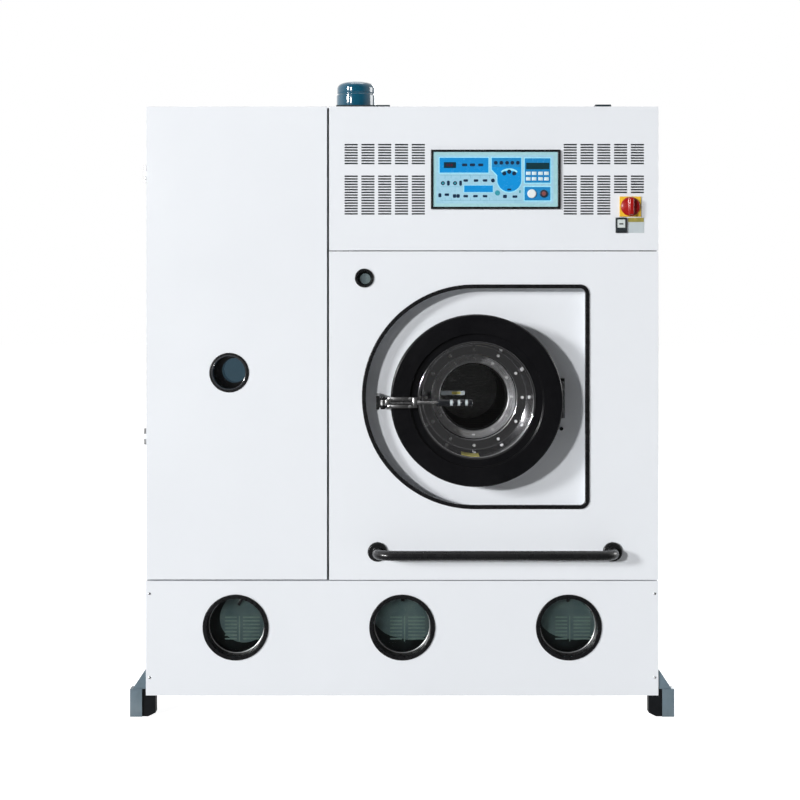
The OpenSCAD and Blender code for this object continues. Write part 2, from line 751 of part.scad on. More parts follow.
module drum_shaft() {
    color("darkgray") in_frame() at_xz(drum_x, drum_z) {
        bar_y(shaft_r, [cage_y1 + 8, shaft_y1]);
        bar_y(90, [cage_y1, cage_y1 + 8]);
        difference() {
            pulley(big_pulley_r, shaft_r - 1);
            for (a = [0:60:300]) rotate([0, a, 0]) translate([big_pulley_r * 0.58, 0, 0])
                bar_y(big_pulley_r * 0.2, [pulley_y - 1, pulley_y + pulley_w + 1]);
        }
    }
}
module drive_motor() {
    y0 = tub_y1 + 32;
    color("steelblue") in_frame() {
        translate([motor_x, 0, motor_z]) difference() {
            union() {
                bar_y(drive_motor_r, [y0, y0 + 190]);
                bar_y(drive_motor_r - 20, [y0 + 190, y0 + 200]);
                block([-50, 50], [y0 + 20, y0 + 170], [mid_z1 + plate_t - motor_z, -drive_motor_r / 2]);
            }
            bar_y(14 + running, [y0 + 100, y0 + 201]);
        }
        block([motor_x - 75, motor_x + 75], [beam_y2 + 5, beam_y3 + 45], [mid_z1, mid_z1 + plate_t]);
    }
}
module motor_pulley() {
    color("dimgray") in_frame() translate([motor_x, 0, motor_z]) {
        bar_y(14, [tub_y1 + 134, pulley_y + pulley_w]);
        pulley(small_pulley_r, 13);
    }
}
// Tangent points of an open belt round two circles give the straight runs, drawn a little inside the
// tangent so that each run crosses its circles
module belt_outline(r1, r2) {
    q1 = r1 - 0.15;
    q2 = r2 - 0.15;
    dx = motor_x - drum_x;
    dz = motor_z - drum_z;
    d = sqrt(dx * dx + dz * dz);
    a = atan2(dz, dx);
    b = acos((r1 - r2) / d);
    circle(r = r1, $fn = 144);
    translate([dx, dz]) circle(r = r2, $fn = 96);
    polygon([[q1 * cos(a + b), q1 * sin(a + b)], [q1 * cos(a - b), q1 * sin(a - b)],
        [dx + q2 * cos(a - b), dz + q2 * sin(a - b)], [dx + q2 * cos(a + b), dz + q2 * sin(a + b)]]);
}
module drive_belt() {
    in1 = big_pulley_r - groove_d + fit;
    in2 = small_pulley_r - groove_d + fit;
    side = 1;
    y = pulley_y + (pulley_w - groove_w) / 2 + side;
    color([0.12, 0.12, 0.12]) in_frame() translate([drum_x, y + groove_w - 2 * side, drum_z])
        rotate([90, 0, 0]) linear_extrude(groove_w - 2 * side) difference() {
            belt_outline(in1 + belt_t, in2 + belt_t);
            belt_outline(in1, in2);
        }
}

// ---- Distilling and solvent circuit ----
module still_vessel() {
    t = 4;
    flange_r = still_glass_r + 23;
    skirt_r = 124;
    bore = still_glass_r - 6;
    color("silver") in_frame() {
        difference() {
            union() {
                translate([port_x, still_y, 0]) bar_z(still_r, [still_z0, still_z1]);
                translate([port_x, still_y, still_z1]) cylinder(r1 = still_r, r2 = 60, h = 50);
                translate([port_x, 0, port_z]) {
                    bar_y(bore + 8, [still_glass_y + glass_t, still_y]);
                    bar_y(flange_r, [still_glass_y - 6, still_glass_y + 18]);
                }
                translate([port_x, still_y, 0]) bar_z(skirt_r, [mid_z1 + 6, still_z0]);
                block([port_x - 190, port_x + 190], [beam_y1, beam_y2 + 20], [mid_z1, mid_z1 + 6]);
            }
            translate([port_x, still_y, 0]) bar_z(still_r - t, [still_z0 + t, still_z1 - t]);
            translate([port_x, still_y, still_z1 - t - 0.5])
                cylinder(r1 = still_r - t - 1, r2 = 60 - t, h = 50);
            translate([port_x, still_y, 0]) bar_z(skirt_r - t, [mid_z1 - 1, still_z0 - t]);
            translate([port_x, 0, port_z]) {
                bar_y(bore, [still_glass_y - 7, still_y]);
                bar_y(still_glass_r + 0.2, [still_glass_y, still_glass_y + glass_t]);
            }
        }
        for (a = [0:60:300]) translate([port_x, 0, port_z]) rotate([0, a, 0]) translate([flange_r - 11, 0, 0])
            bar_y(5, [still_glass_y - 11, still_glass_y - 5]);
    }
}
module condenser() {
    color("silver") in_frame() translate([port_x, still_y, 0]) difference() {
        union() {
            bar_z(45, [still_z1 + 50, cond_z0]);
            bar_z(cond_r, [cond_z0, cond_z0 + cond_h]);
            bar_z(cond_r + 14, [cond_z0 + 20, cond_z0 + 32]);
            bar_z(cond_r + 14, [cond_z0 + cond_h - 32, cond_z0 + cond_h - 20]);
        }
        bar_z(cond_r - vessel_t, [cond_z0 + vessel_t, cond_z0 + cond_h - vessel_t]);
        translate([0, 0, drain_z]) bar_x(port_hole_r, [-cond_r - 1, 0]);
    }
}
module water_separator() {
    color("silver") in_frame() {
        difference() {
            block([inner_l, inner_l + sep_w], [still_y - sep_d / 2, still_y + sep_d / 2],
                [sep_z0, sep_z0 + sep_h]);
            block([inner_l + vessel_t, inner_l + sep_w - vessel_t],
                [still_y - sep_d / 2 + vessel_t, still_y + sep_d / 2 - vessel_t],
                [sep_z0 + vessel_t, sep_z0 + sep_h - vessel_t]);
            translate([0, still_y, drain_z])
                bar_x(port_hole_r, [inner_l + sep_w - vessel_t - 1, inner_l + sep_w + 1]);
        }
        translate([inner_l + sep_w / 2, still_y - sep_d / 2 - 14, 0]) {
            bar_z(8, [sep_z0 + 40, sep_z0 + sep_h - 40]);
            for (z = [50, sep_h - 60]) translate([0, 0, sep_z0 + z]) bar_y(11, [-11, 14]);
        }
    }
}
module filter_housing() {
    color("lightsteelblue") in_frame() translate([filter_x, filter_y, 0]) difference() {
        union() {
            bar_z(filter_r, [mid_z1 + plate_t, filter_z1]);
            translate([0, 0, filter_z1]) cylinder(r1 = filter_r, r2 = filter_neck_r, h = filter_neck_h);
            bar_z(filter_r + 14, [filter_z1 - 120, filter_z1 - 90]);
            block([-60, 60], [beam_y3 + 5 - filter_y, filter_r + 20], [mid_z1, mid_z1 + plate_t]);
        }
        bar_z(filter_r - vessel_t, [mid_z1 + plate_t + vessel_t, filter_z1 - vessel_t]);
        translate([0, 0, feed_z]) bar_x(port_hole_r, [-filter_r - 1, 0]);
    }
}
module solvent_pump() {
    color("steelblue") in_frame() {
        translate([pump_x, 0, pump_z]) {
            bar_y(70, [beam_y2 + 60, beam_y2 + 240]);
            bar_y(pump_r, [beam_y2 + 240, beam_y2 + 300]);
            translate([-pump_r, 0, 0]) block([0, 40], [beam_y2 + 250, beam_y2 + 290], [0, outlet_h]);
            block([-50, 50], [beam_y2 + 80, beam_y2 + 290], [mid_z1 + plate_t - pump_z, -40]);
        }
        difference() {
            block([pump_x - 90, pump_x + 90], [beam_y2 + 25, beam_y3 + 40], [mid_z1, mid_z1 + plate_t]);
            translate([pump_x, suction_y, mid_z1 - 1]) cylinder(r = pipe_r + 3, h = plate_t + 2);
        }
    }
}
module pipework() {
    feed_y = beam_y2 + 270;
    color("peru") in_frame() {
        // Suction pipe from the tank's lid up to the pump
        translate([pump_x, suction_y, 0]) {
            bar_z(pipe_r, [mid_z0 - 8, pump_z]);
            translate([0, 0, pump_z]) bar_y(pipe_r, [beam_y2 + 300 - suction_y, 0]);
            translate([0, 0, pump_z]) cube(2 * elbow_r, center = true);
        }
        // Pressure pipe from the pump to the filter
        translate([feed_x, feed_y, 0]) {
            bar_z(pipe_r, [pump_z + outlet_h, feed_z]);
            translate([0, 0, feed_z]) cube(2 * elbow_r, center = true);
            translate([0, 0, feed_z]) bar_y(pipe_r, [0, filter_y - feed_y]);
            translate([0, filter_y - feed_y, feed_z]) cube(2 * elbow_r, center = true);
        }
        difference() {
            translate([0, filter_y, feed_z]) bar_x(pipe_r, [feed_x, filter_x - filter_r + 20]);
            translate([filter_x, filter_y, 0]) bar_z(filter_r + fit, [pump_z, filter_z1]);
        }
        // Overflow from the condenser to the water separator
        difference() {
            translate([0, still_y, drain_z]) bar_x(pipe_r, [inner_l + sep_w, port_x - cond_r + 20]);
            translate([port_x, still_y, 0]) bar_z(cond_r + fit, [cond_z0, cond_z0 + cond_h]);
        }
        // Service connections through the rear panel
        block([stub_x[0] - 40, stub_x[3] + 40], [rear_y - 6, rear_y], [stub_z - 40, stub_z + 40]);
        for (x = stub_x) at_xz(x, stub_z) {
            bar_y(elbow_r, [rear_y - 120, rear_y - 3]);
            bar_y(union_r, [rear_y - 3, cab_d + union_out]);
            bar_y(pipe_r, [cab_d, cab_d + stub_out]);
        }
    }
}

// ---- Air circuit ----
module air_duct() {
    t = sheet_t;
    color("gainsboro") in_frame() difference() {
        union() {
            translate([fan_x, fan_y, 0]) bar_z(scroll_r, [scroll_z0, frame_top]);
            block([fan_x, duct_x1], [fan_y - duct_d / 2, fan_y + duct_d / 2], [duct_z0, duct_z1]);
            block([duct_x1 - 100, duct_x1], [fan_y - duct_d / 2, fan_y + duct_d / 2],
                [drum_z + tub_r * 0.8, duct_z1]);
        }
        translate([fan_x, fan_y, 0]) bar_z(scroll_r - t, [scroll_z0 + t, frame_top - t]);
        translate([fan_x, fan_y, 0]) bar_z(60, [scroll_z0 - 1, scroll_z0 + 10]);
        translate([fan_x, fan_y, 0]) bar_z(20, [frame_top - 10, cab_h]);
        block([fan_x, duct_x1 - t], [fan_y - duct_d / 2 + t, fan_y + duct_d / 2 - t],
            [duct_z0 + t, duct_z1 - t]);
        block([duct_x1 - 100 + t, duct_x1 - t], [fan_y - duct_d / 2 + t, fan_y + duct_d / 2 - t],
            [drum_z, duct_z0 + 10]);
        at_xz(drum_x, drum_z) bar_y(tub_r + fit, [0, cab_d]);
    }
}
module fan_box() {
    color([0.15, 0.17, 0.18]) in_frame() difference() {
        block(fan_box_x, [fan_y - 75, fan_y + 75], [cab_h, cab_h + fan_box_h]);
        translate([fan_x, fan_y, cab_h - 1]) cylinder(r = 20, h = fan_box_h + 2);
    }
}
module fan_motor() {
    z0 = cab_h + fan_box_h;
    cap = motor_h * 0.52;
    color("teal") in_frame() translate([fan_x, fan_y, z0]) difference() {
        rotate_extrude($fn = 96) polygon([[0, 0], [motor_r, 0], [motor_r, cap - 6], [motor_r - 2, cap - 3],
            [motor_r - 4, cap - 3], [motor_r - 4, cap], [motor_r - 2, cap], [motor_r - 2, motor_h - 20],
            [motor_r - 12, motor_h - 8], [motor_r - 23, motor_h - 3], [motor_r - 38, motor_h],
            [0, motor_h]]);
        translate([0, 0, -1]) cylinder(r = 10 + running, h = 41);
    }
}
module fan_impeller() {
    z0 = scroll_z0 + 30;
    color("silver") in_frame() translate([fan_x, fan_y, 0]) {
        bar_z(10, [z0, cab_h + fan_box_h + 38]);
        bar_z(fan_r, [z0, z0 + 4]);
        for (a = [0:30:330]) rotate([0, 0, a]) translate([fan_r - 18, 0, z0 + 3]) rotate([0, 0, 35])
            translate([-17, -1.5, 0]) cube([34, 3, 90]);
    }
}
module cable_entry() {
    color([0.12, 0.12, 0.13]) in_frame() difference() {
        block([cable_x - 27, cable_x + 27], [cable_y - 20, cable_y + 20], [cab_h, cab_h + 30]);
        translate([cable_x, cable_y, cab_h - 1]) cylinder(r = cable_r, h = 32);
    }
}

// ---- Service door ----
module service_hinges() {
    leaf_y = knuckle_y + knuckle_r + 1.5;
    third = knuckle_h / 3;
    color("silver") in_frame() for (z = hinge_z) translate([0, 0, z]) {
        block([left - 2, left], [leaf_y, 60], [-knuckle_h / 2, knuckle_h / 2]);
        for (k = [-1, 1]) {
            block([left - 2, left], [knuckle_y, leaf_y], [k * third - third / 2, k * third + third / 2]);
            translate([knuckle_x, knuckle_y, k * third]) bar_z(knuckle_r, [-third / 2, third / 2]);
        }
        translate([knuckle_x, knuckle_y, 0]) bar_z(hinge_pin_r, [-knuckle_h / 2, knuckle_h / 2]);
    }
}
module service_door() {
    third = knuckle_h / 3 - fit;
    z = [band_top + seam, cab_h];
    hat_w = 40;
    color("whitesmoke") in_frame() {
        difference() {
            folded_panel([door_x0, door_x1], z, fold_d - door_stand);
            at_xz(port_x, port_z) bar_y(port_r - 5, [-1, sheet_t + 1]);
        }
        for (x = [port_x - 130, port_x + 130]) difference() {
            block([x - hat_w / 2, x + hat_w / 2], [sheet_t, 20], [z[0] + 40, z[1] - 40]);
            block([x - hat_w / 2 + 2, x + hat_w / 2 - 2], [sheet_t, 18], [z[0] + 39, z[1] - 39]);
        }
        for (h = hinge_z) translate([0, 0, h]) difference() {
            union() {
                translate([knuckle_x, knuckle_y, 0]) bar_z(knuckle_r, [-third / 2, third / 2]);
                block([knuckle_x, door_x0 + 1], [knuckle_y - knuckle_r, knuckle_y - 1],
                    [-third / 2, third / 2]);
            }
            translate([knuckle_x, knuckle_y, 0]) bar_z(hinge_pin_r + running, [-third, third]);
        }
    }
}
module service_port_trim() {
    color("black") in_frame() at_xz(port_x, port_z) turned_y([[port_r - port_lip, -4], [port_r - 2, -4],
        [port_r, -2], [port_r, 0], [port_r - 5 - fit, 0], [port_r - 5 - fit, 14], [port_r - port_lip, 14]]);
}

// ---- Loading door ----
module loading_ring() {
    color([0.07, 0.07, 0.08]) in_frame() {
        at_xz(drum_x, drum_z) turned_y([[ring_bore_r, step_d - ring_out], [step_r, step_d - ring_out],
            [step_r + 2, -ring_out], [ring_r - 4, -ring_out], [ring_r, 4 - ring_out], [ring_r, ring_back],
            [ring_bore_r, ring_back]]);
        // Hinge lug
        at_xz(hinge_x, drum_z) difference() {
            union() {
                translate([0, hinge_y, 0]) bar_z(barrel_r, [-lug_h / 2, lug_h / 2]);
                block([-26, 0], [ring_back - 1, hinge_y + 8], [-lug_h / 2, lug_h / 2]);
            }
            translate([0, hinge_y, 0]) bar_z(pin_r + running, [-lug_h, lug_h]);
        }
        // Two ears and the pin that carry the latch lever
        translate([latch_x, latch_y, latch_z]) {
            for (s = [0, 1]) mirror([0, 0, s]) {
                bar_z(hub_r, [hub_h / 2 + fit, hub_h / 2 + ear_t]);
                block([-9, 9], [0, 35], [hub_h / 2 + fit, hub_h / 2 + ear_t]);
                block([-9, pivot_out + 6], [19, 35], [hub_h / 2 + fit, hub_h / 2 + ear_t]);
                bar_z(7, [hub_h / 2 + ear_t, hub_h / 2 + ear_t + 4]);
            }
            bar_z(latch_pin_r, [-hub_h / 2 - ear_t, hub_h / 2 + ear_t]);
        }
    }
}
module loading_gasket() {
    color([0.2, 0.2, 0.2]) in_frame() at_xz(drum_x, drum_z)
        tube_y(collar_flange_r - 2, mouth_r + 4, [ring_back, -collar_out - fit]);
}
module loading_bowl() {
    t = bowl_t;
    rim_y = step_d - ring_out - t;
    wall_r = ring_bore_r - 0.5;
    end_r = glass_ring_r + 2;
    end_y = glass_depth + glass_t;
    color("silver") in_frame() at_xz(drum_x, drum_z) turned_y([[bowl_r - 7, rim_y], [bowl_r, rim_y],
        [bowl_r, rim_y + t], [wall_r, rim_y + t], [wall_r, ring_back], [bolt_face_r + t, bolt_face_y + t],
        [end_r + t + 1, bolt_face_y + t], [end_r + t + 1, end_y + t], [glass_r - 8, end_y + t],
        [glass_r - 8, end_y], [end_r, end_y], [end_r, bolt_face_y], [bolt_face_r, bolt_face_y],
        [wall_r - t, rim_y + 4]]);
}
module loading_bolts() {
    head = 5;
    color("gainsboro") in_frame() at_xz(drum_x, drum_z) for (i = [0:bolt_count - 1])
        rotate([0, i * 360 / bolt_count, 0]) {
            translate([outer_bolt_r, 0, 0]) bar_y(5, [bolt_face_y - head, bolt_face_y]);
            translate([inner_bolt_r, 0, 0]) bar_y(4, [glass_depth - 7 - head, glass_depth - 7]);
        }
}
module loading_glass_ring() {
    color("silver") in_frame() at_xz(drum_x, drum_z) turned_y([[glass_r, glass_depth],
        [glass_r, glass_depth - 4], [glass_r + 3, glass_depth - 7], [glass_ring_r, glass_depth - 7],
        [glass_ring_r, glass_depth]]);
}
module loading_glass() {
    color([0.5, 0.55, 0.58, 0.4]) in_frame() at_xz(drum_x, drum_z)
        bar_y(glass_ring_r, [glass_depth, glass_depth + glass_t]);
}

// ---- Latch ----
module latch_lever() {
    color("silver") in_frame() translate([0, latch_y, latch_z]) {
        difference() {
            union() {
                translate([latch_x, 0, 0]) bar_z(hub_r, [-hub_h / 2, hub_h / 2]);
                block([latch_x, latch_x + hub_r + 12], [-7, 7], [-hub_h / 2, hub_h / 2]);
            }
            translate([latch_x, 0, 0]) bar_z(latch_pin_r + running, [-hub_h, hub_h]);
        }
        for (s = [-1, 1]) block([latch_x + hub_r + 4, collar_x], [-bar_depth / 2, bar_depth / 2],
            [s * bar_mid - bar_t / 2, s * bar_mid + bar_t / 2]);
        block([collar_x, collar_x + collar_w], [-10, 10], [-bar_mid - 5, bar_mid + 5]);
        bar_x(rod_r, [latch_x + hub_r + 10, grip_x1 - 12]);
    }
}
module latch_grip() {
    segments = 3;
    pitch = grip_len / segments;
    bore = rod_r + 0.2;
    rib = [[grip_r - 3, 1], [grip_r, 5], [grip_r, pitch - 5], [grip_r - 3, pitch - 1]];
    color([0.08, 0.08, 0.08]) in_frame() translate([0, latch_y, latch_z]) rotate([0, 90, 0]) rotate_extrude()
        polygon(concat([[bore, sleeve_x0], [grip_r - 1.5, sleeve_x0], [grip_r - 1.5, grip_x0]],
            [for (i = [0:segments - 1], p = rib) [p[0], grip_x0 + i * pitch + p[1]]],
            [[0, grip_x1], [0, grip_x1 - 10], [bore, grip_x1 - 10]]));
}

// ---- Controls that move ----
module switch_knob() {
    base_y = -5 - fit;
    color("red") in_frame() at_xz(switch_x, switch_z) {
        turned_y([[0, base_y], [switch_r, base_y], [switch_r, base_y - 6], [switch_r - 3, base_y - 9],
            [0, base_y - 9]]);
        block([-8.5, 8.5], [base_y - 32, base_y - 8], [-switch_r + 2, switch_r - 2]);
        bar_y(5, [base_y, 28]);
    }
}
module push_button(r) {
    turned_y([[0, -10], [r - 2, -10], [r, -8.5], [r, 6], [0, 6]]);
}
module start_button() { color("white") in_frame() at_xz(start_x, button_z) push_button(start_r); }
module stop_button() { color("darkslategray") in_frame() at_xz(stop_x, button_z) push_button(stop_r); }

base_frame();
feet();
upper_frame();
left_side_panel();
right_side_panel();
rear_panel();
top_panel();
divider_panel();
header_panel();
middle_panel();
lower_band();
band_screws();
door_trim();
door_recess();
mouth_collar();
loading_hinge_bracket();
latch_keeper();
handrail();
sight_bezel();
sight_glasses();
window_bezels();
level_scales();
solvent_tank();
control_bezel();
control_unit();
switch_plate();
hour_meter();
data_plate();
tub();
bearing_housing();
drive_motor();
drive_belt();
still_vessel();
condenser();
water_separator();
filter_housing();
solvent_pump();
pipework();
air_duct();
fan_box();
fan_motor();
cable_entry();
service_hinges();
service_door();
service_port_trim();
loading_ring();
loading_gasket();
loading_bowl();
loading_bolts();
loading_glass_ring();
loading_glass();
latch_lever();
latch_grip();
drum_cage();
drum_shaft();
motor_pulley();
fan_impeller();
switch_knob();
start_button();
stop_button();
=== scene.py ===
import bpy
import bmesh
import math
import numpy as np
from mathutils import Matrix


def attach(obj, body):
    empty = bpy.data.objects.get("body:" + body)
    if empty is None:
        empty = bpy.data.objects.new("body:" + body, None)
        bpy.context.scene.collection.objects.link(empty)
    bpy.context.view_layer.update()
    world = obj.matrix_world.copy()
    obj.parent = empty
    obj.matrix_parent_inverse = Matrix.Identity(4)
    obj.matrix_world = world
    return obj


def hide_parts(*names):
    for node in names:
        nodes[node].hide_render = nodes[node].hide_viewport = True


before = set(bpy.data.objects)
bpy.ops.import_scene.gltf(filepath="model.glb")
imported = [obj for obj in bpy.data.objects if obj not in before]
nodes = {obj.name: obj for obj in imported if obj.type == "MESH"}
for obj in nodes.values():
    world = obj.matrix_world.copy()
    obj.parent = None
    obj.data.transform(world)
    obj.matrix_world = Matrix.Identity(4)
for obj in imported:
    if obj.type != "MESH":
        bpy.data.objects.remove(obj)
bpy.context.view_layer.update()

# Shapes are worked out in millimetres from the cabinet's front face, as the part's source has them:
# x to the right, y inwards, z up from the floor. place() turns them into the frame's metres.
frontY = -0.62575
drumX, drumZ = 241.0, 1041.0
drumAxis = (0.001 * drumX, 0.0, 0.001 * drumZ)


def place(points):
    return np.asarray(points, float) * 0.001 + np.array([0.0, frontY, 0.0])


# shapes

# The quads of a grid of rows by cols points, which may run round from the last row or column to the first.
def gridFaces(rows, cols, roundRows=False, roundCols=True):
    i, j = np.meshgrid(np.arange(rows - 1 + roundRows), np.arange(cols - 1 + roundCols), indexing="ij")
    k, l = (i + 1) % rows, (j + 1) % cols
    return np.stack([i * cols + j, k * cols + j, k * cols + l, i * cols + l], -1).reshape(-1, 4).tolist()


# Rings of points joined in turn, with a flat face over the first and the last.
def cappedFaces(rows, cols):
    return gridFaces(rows, cols) + [list(range(cols)), list(range((rows - 1) * cols, rows * cols))]


# A closed profile of [radius, along] points carried round an axis through centre: each point goes to
# centre + radius * (cos, sin) across the axis + along * axis.
def turned(profile, centre, axis="y", sides=96):
    prof = np.asarray(profile, float)
    angle = np.linspace(0, 2 * np.pi, sides, endpoint=False)
    radius, along = prof[:, 0][:, None], prof[:, 1][:, None]
    across, rise, run = radius * np.cos(angle), radius * np.sin(angle), along + 0 * angle
    order = {"y": (across, run, rise), "x": (run, across, rise), "z": (across, rise, run)}[axis]
    verts = np.stack(order, -1).reshape(-1, 3) + np.asarray(centre, float)
    return verts, gridFaces(len(prof), sides, roundRows=True)


# A corner of a closed profile becomes a quadratic curve: points (1-t)^2 a + 2t(1-t) p + t^2 b between the
# places a and b that lie a given distance before and after the corner p.
def softProfile(points, radius, steps):
    pts = np.asarray(points, float)
    before, after = np.roll(pts, 1, 0), np.roll(pts, -1, 0)
    lenA, lenB = np.linalg.norm(before - pts, axis=1), np.linalg.norm(after - pts, axis=1)
    cut = np.minimum(radius, 0.45 * np.minimum(lenA, lenB))[:, None]
    a = pts + (before - pts) / np.maximum(lenA, 1e-9)[:, None] * cut
    b = pts + (after - pts) / np.maximum(lenB, 1e-9)[:, None] * cut
    t = np.linspace(0, 1, steps)[None, :, None]
    curve = (1 - t) ** 2 * a[:, None] + 2 * t * (1 - t) * pts[:, None] + t ** 2 * b[:, None]
    return curve.reshape(-1, 2)


# A block with rounded edges: a unit sphere's grid point n goes to sign(n) * (half - r) + r * n, so
# each octant of the sphere sits in one corner and the gaps between them are the flat sides.
def softBlock(centre, size, radius, steps=3):
    half = np.asarray(size, float) / 2
    r = min(radius, 0.49 * float(min(size)))
    quarter = np.linspace(0, np.pi / 2, steps)
    around = np.concatenate([quarter + k * np.pi / 2 for k in range(4)])
    rise = np.concatenate([quarter - np.pi / 2, quarter])
    u, v = np.meshgrid(around, rise, indexing="xy")
    signX, signZ = np.meshgrid(np.repeat([1, -1, -1, 1], steps), np.repeat([-1, 1], steps), indexing="xy")
    signY = np.broadcast_to(np.repeat([1, 1, -1, -1], steps), signX.shape)
    normal = np.stack([np.cos(u) * np.cos(v), np.sin(u) * np.cos(v), np.sin(v)], -1)
    sign = np.stack([signX, signY, signZ], -1)
    verts = (np.asarray(centre, float) + sign * (half - r) + r * normal).reshape(-1, 3)
    return verts, cappedFaces(len(rise), len(around))


# Outlines of [x, z] points, all of one length, set at their depths one behind the other.
def stacked(levels):
    return np.vstack([np.column_stack([line[:, 0], np.full(len(line), depth), line[:, 1]])
                      for line, depth in levels])


# A flat outline of [x, z] points drawn out between two depths, with its front edge drawn in by chamfer.
def plate(outline, y, chamfer=0.0):
    o = np.asarray(outline, float)
    middle = o.mean(0)
    inner = middle + (o - middle) * (1 - chamfer / np.maximum(np.abs(o - middle).max(), 1e-6))
    levels = [(inner, y[0]), (o, y[0] + chamfer), (o, y[1])] if chamfer else [(o, y[0]), (o, y[1])]
    return stacked(levels), cappedFaces(len(levels), len(o))


# Corner arcs of radius r in turn: corner + r * (cos, sin) over a quarter turn each.
def roundRect(x, z, w, h, r, steps=5):
    a = np.linspace(0, np.pi / 2, steps)
    corners = [(1, 1, 0), (-1, 1, 1), (-1, -1, 2), (1, -1, 3)]
    return np.vstack([np.column_stack([
        x + sx * (w / 2 - r) + r * np.cos(a + q * np.pi / 2),
        z + sz * (h / 2 - r) + r * np.sin(a + q * np.pi / 2)]) for sx, sz, q in corners])


def disc(x, z, r, steps=32):
    a = np.linspace(0, 2 * np.pi, steps, endpoint=False)
    return np.column_stack([x + r * np.cos(a), z + r * np.sin(a)])


# A shape turned about a line along y through centre: x' = x cos + z sin and z' = z cos - x sin.
def leaned(shape, centre, angle):
    verts, faces = shape
    c, s = math.cos(angle), math.sin(angle)
    return (verts - centre) @ np.array([[c, 0, -s], [0, 1, 0], [s, 0, c]]) + centre, faces


# pieces

def soften(obj, width):
    edge = obj.modifiers.new("softEdge", "BEVEL")
    edge.width = width
    edge.segments = 2
    edge.limit_method = "ANGLE"
    edge.angle_limit = math.radians(40)
    edge.harden_normals = True
    edge.use_clamp_overlap = True


def addPiece(name, mesh, body, replaces, smooth, bevel=0.0):
    mesh.polygons.foreach_set("use_smooth", [True] * len(mesh.polygons))
    mesh.set_sharp_from_angle(angle=math.radians(smooth))
    mesh.update()
    obj = bpy.data.objects.new(name, mesh)
    bpy.context.scene.collection.objects.link(obj)
    if bevel:
        soften(obj, bevel)
    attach(obj, body)
    if replaces:
        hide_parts(*replaces)


# shapes is a list of (shape, the name of its look). All go into one mesh at the origin.
def makePiece(name, body, shapes, replaces=(), smooth=35.0):
    verts, faces, index, worn, start = [], [], [], [], 0
    for (v, f), look in shapes:
        if look not in worn:
            worn.append(look)
        verts.append(place(v))
        faces += [[q + start for q in face] for face in f]
        index += [worn.index(look)] * len(f)
        start += len(v)
    mesh = bpy.data.meshes.new(name)
    mesh.from_pydata(np.vstack(verts).tolist(), [], faces)
    for look in worn:
        mesh.materials.append(looks[look])
    mesh.polygons.foreach_set("material_index", index)
    bm = bmesh.new()
    bm.from_mesh(mesh)
    bmesh.ops.remove_doubles(bm, verts=bm.verts, dist=1e-7)
    bmesh.ops.recalc_face_normals(bm, faces=bm.faces)
    bm.to_mesh(mesh)
    bm.free()
    addPiece(name, mesh, body, replaces, smooth)


# A copy of a CAD node with its loose triangles joined and its edges rounded stands for the node.
# Faces whose middle lies in one of the boxes [(x0, x1), (y0, y1), (z0, z1)] get the second look, and
# cuts are the places (axis number, millimetres) at which a flat face is first divided.
def dressNode(node, look, slot, body, bevel, second=None, boxes=(), cuts=()):
    mesh = nodes[node].data.copy()
    mesh.name = node + "Shell"
    bm = bmesh.new()
    bm.from_mesh(mesh)
    bmesh.ops.remove_doubles(bm, verts=bm.verts, dist=2e-6)
    bmesh.ops.dissolve_limit(bm, angle_limit=math.radians(0.5), verts=bm.verts, edges=bm.edges)
    for way, at in cuts:
        square = np.eye(3)[way]
        bmesh.ops.bisect_plane(bm, geom=bm.verts[:] + bm.edges[:] + bm.faces[:],
                               plane_co=square * at * 0.001, plane_no=square)
    bm.to_mesh(mesh)
    bm.free()
    if "custom_normal" in mesh.attributes:
        mesh.attributes.remove(mesh.attributes["custom_normal"])
    middle = np.empty(3 * len(mesh.polygons))
    mesh.polygons.foreach_get("center", middle)
    inside = np.zeros(len(mesh.polygons), int)
    for box in boxes:
        low, high = place([[side[0] for side in box], [side[1] for side in box]])
        inside |= ((middle.reshape(-1, 3) > low) & (middle.reshape(-1, 3) < high)).all(1)
    mesh.materials.clear()
    for name in (look, second) if second else (look,):
        mesh.materials.append(looks[name])
    mesh.polygons.foreach_set("material_index", inside.tolist())
    addPiece(node + "Shell", mesh, body, [node], 35.0, bevel)


def dressInPlace(node, look):
    mesh = nodes[node].data
    mesh.materials.clear()
    mesh.materials.append(looks[look])


# nodes

def addNode(tree, kind, **settings):
    node = tree.nodes.new(kind)
    for key, value in settings.items():
        setattr(node, key, value)
    return node


# An input is given either a plain value or another node's output.
def feed(tree, socket, value):
    if isinstance(value, bpy.types.NodeSocket):
        tree.links.new(value, socket)
    else:
        socket.default_value = value


def mathNode(tree, operation, *values):
    node = addNode(tree, "ShaderNodeMath", operation=operation)
    for socket, value in zip(node.inputs, values):
        feed(tree, socket, value)
    return node.outputs[0]


def vectorNode(tree, operation, first, second):
    node = addNode(tree, "ShaderNodeVectorMath", operation=operation)
    for socket, value in zip(node.inputs, (first, second)):
        feed(tree, socket, value)
    return node.outputs[0]


def splitNode(tree, vector):  # its x, y and z
    parts = addNode(tree, "ShaderNodeSeparateXYZ")
    tree.links.new(vector, parts.inputs[0])
    return [parts.outputs[way] for way in range(3)]


def lengthNode(tree, a, b):  # the square root of a^2 + b^2
    squares = [mathNode(tree, "POWER", side, 2.0) for side in (a, b)]
    return mathNode(tree, "SQRT", mathNode(tree, "ADD", *squares))


def noiseNode(tree, vector, scale, detail, rough=0.5):
    node = addNode(tree, "ShaderNodeTexNoise", noise_dimensions="3D")
    for label, value in (("Vector", vector), ("Scale", scale), ("Detail", detail), ("Roughness", rough)):
        feed(tree, node.inputs[label], value)
    return node.outputs["Fac"]


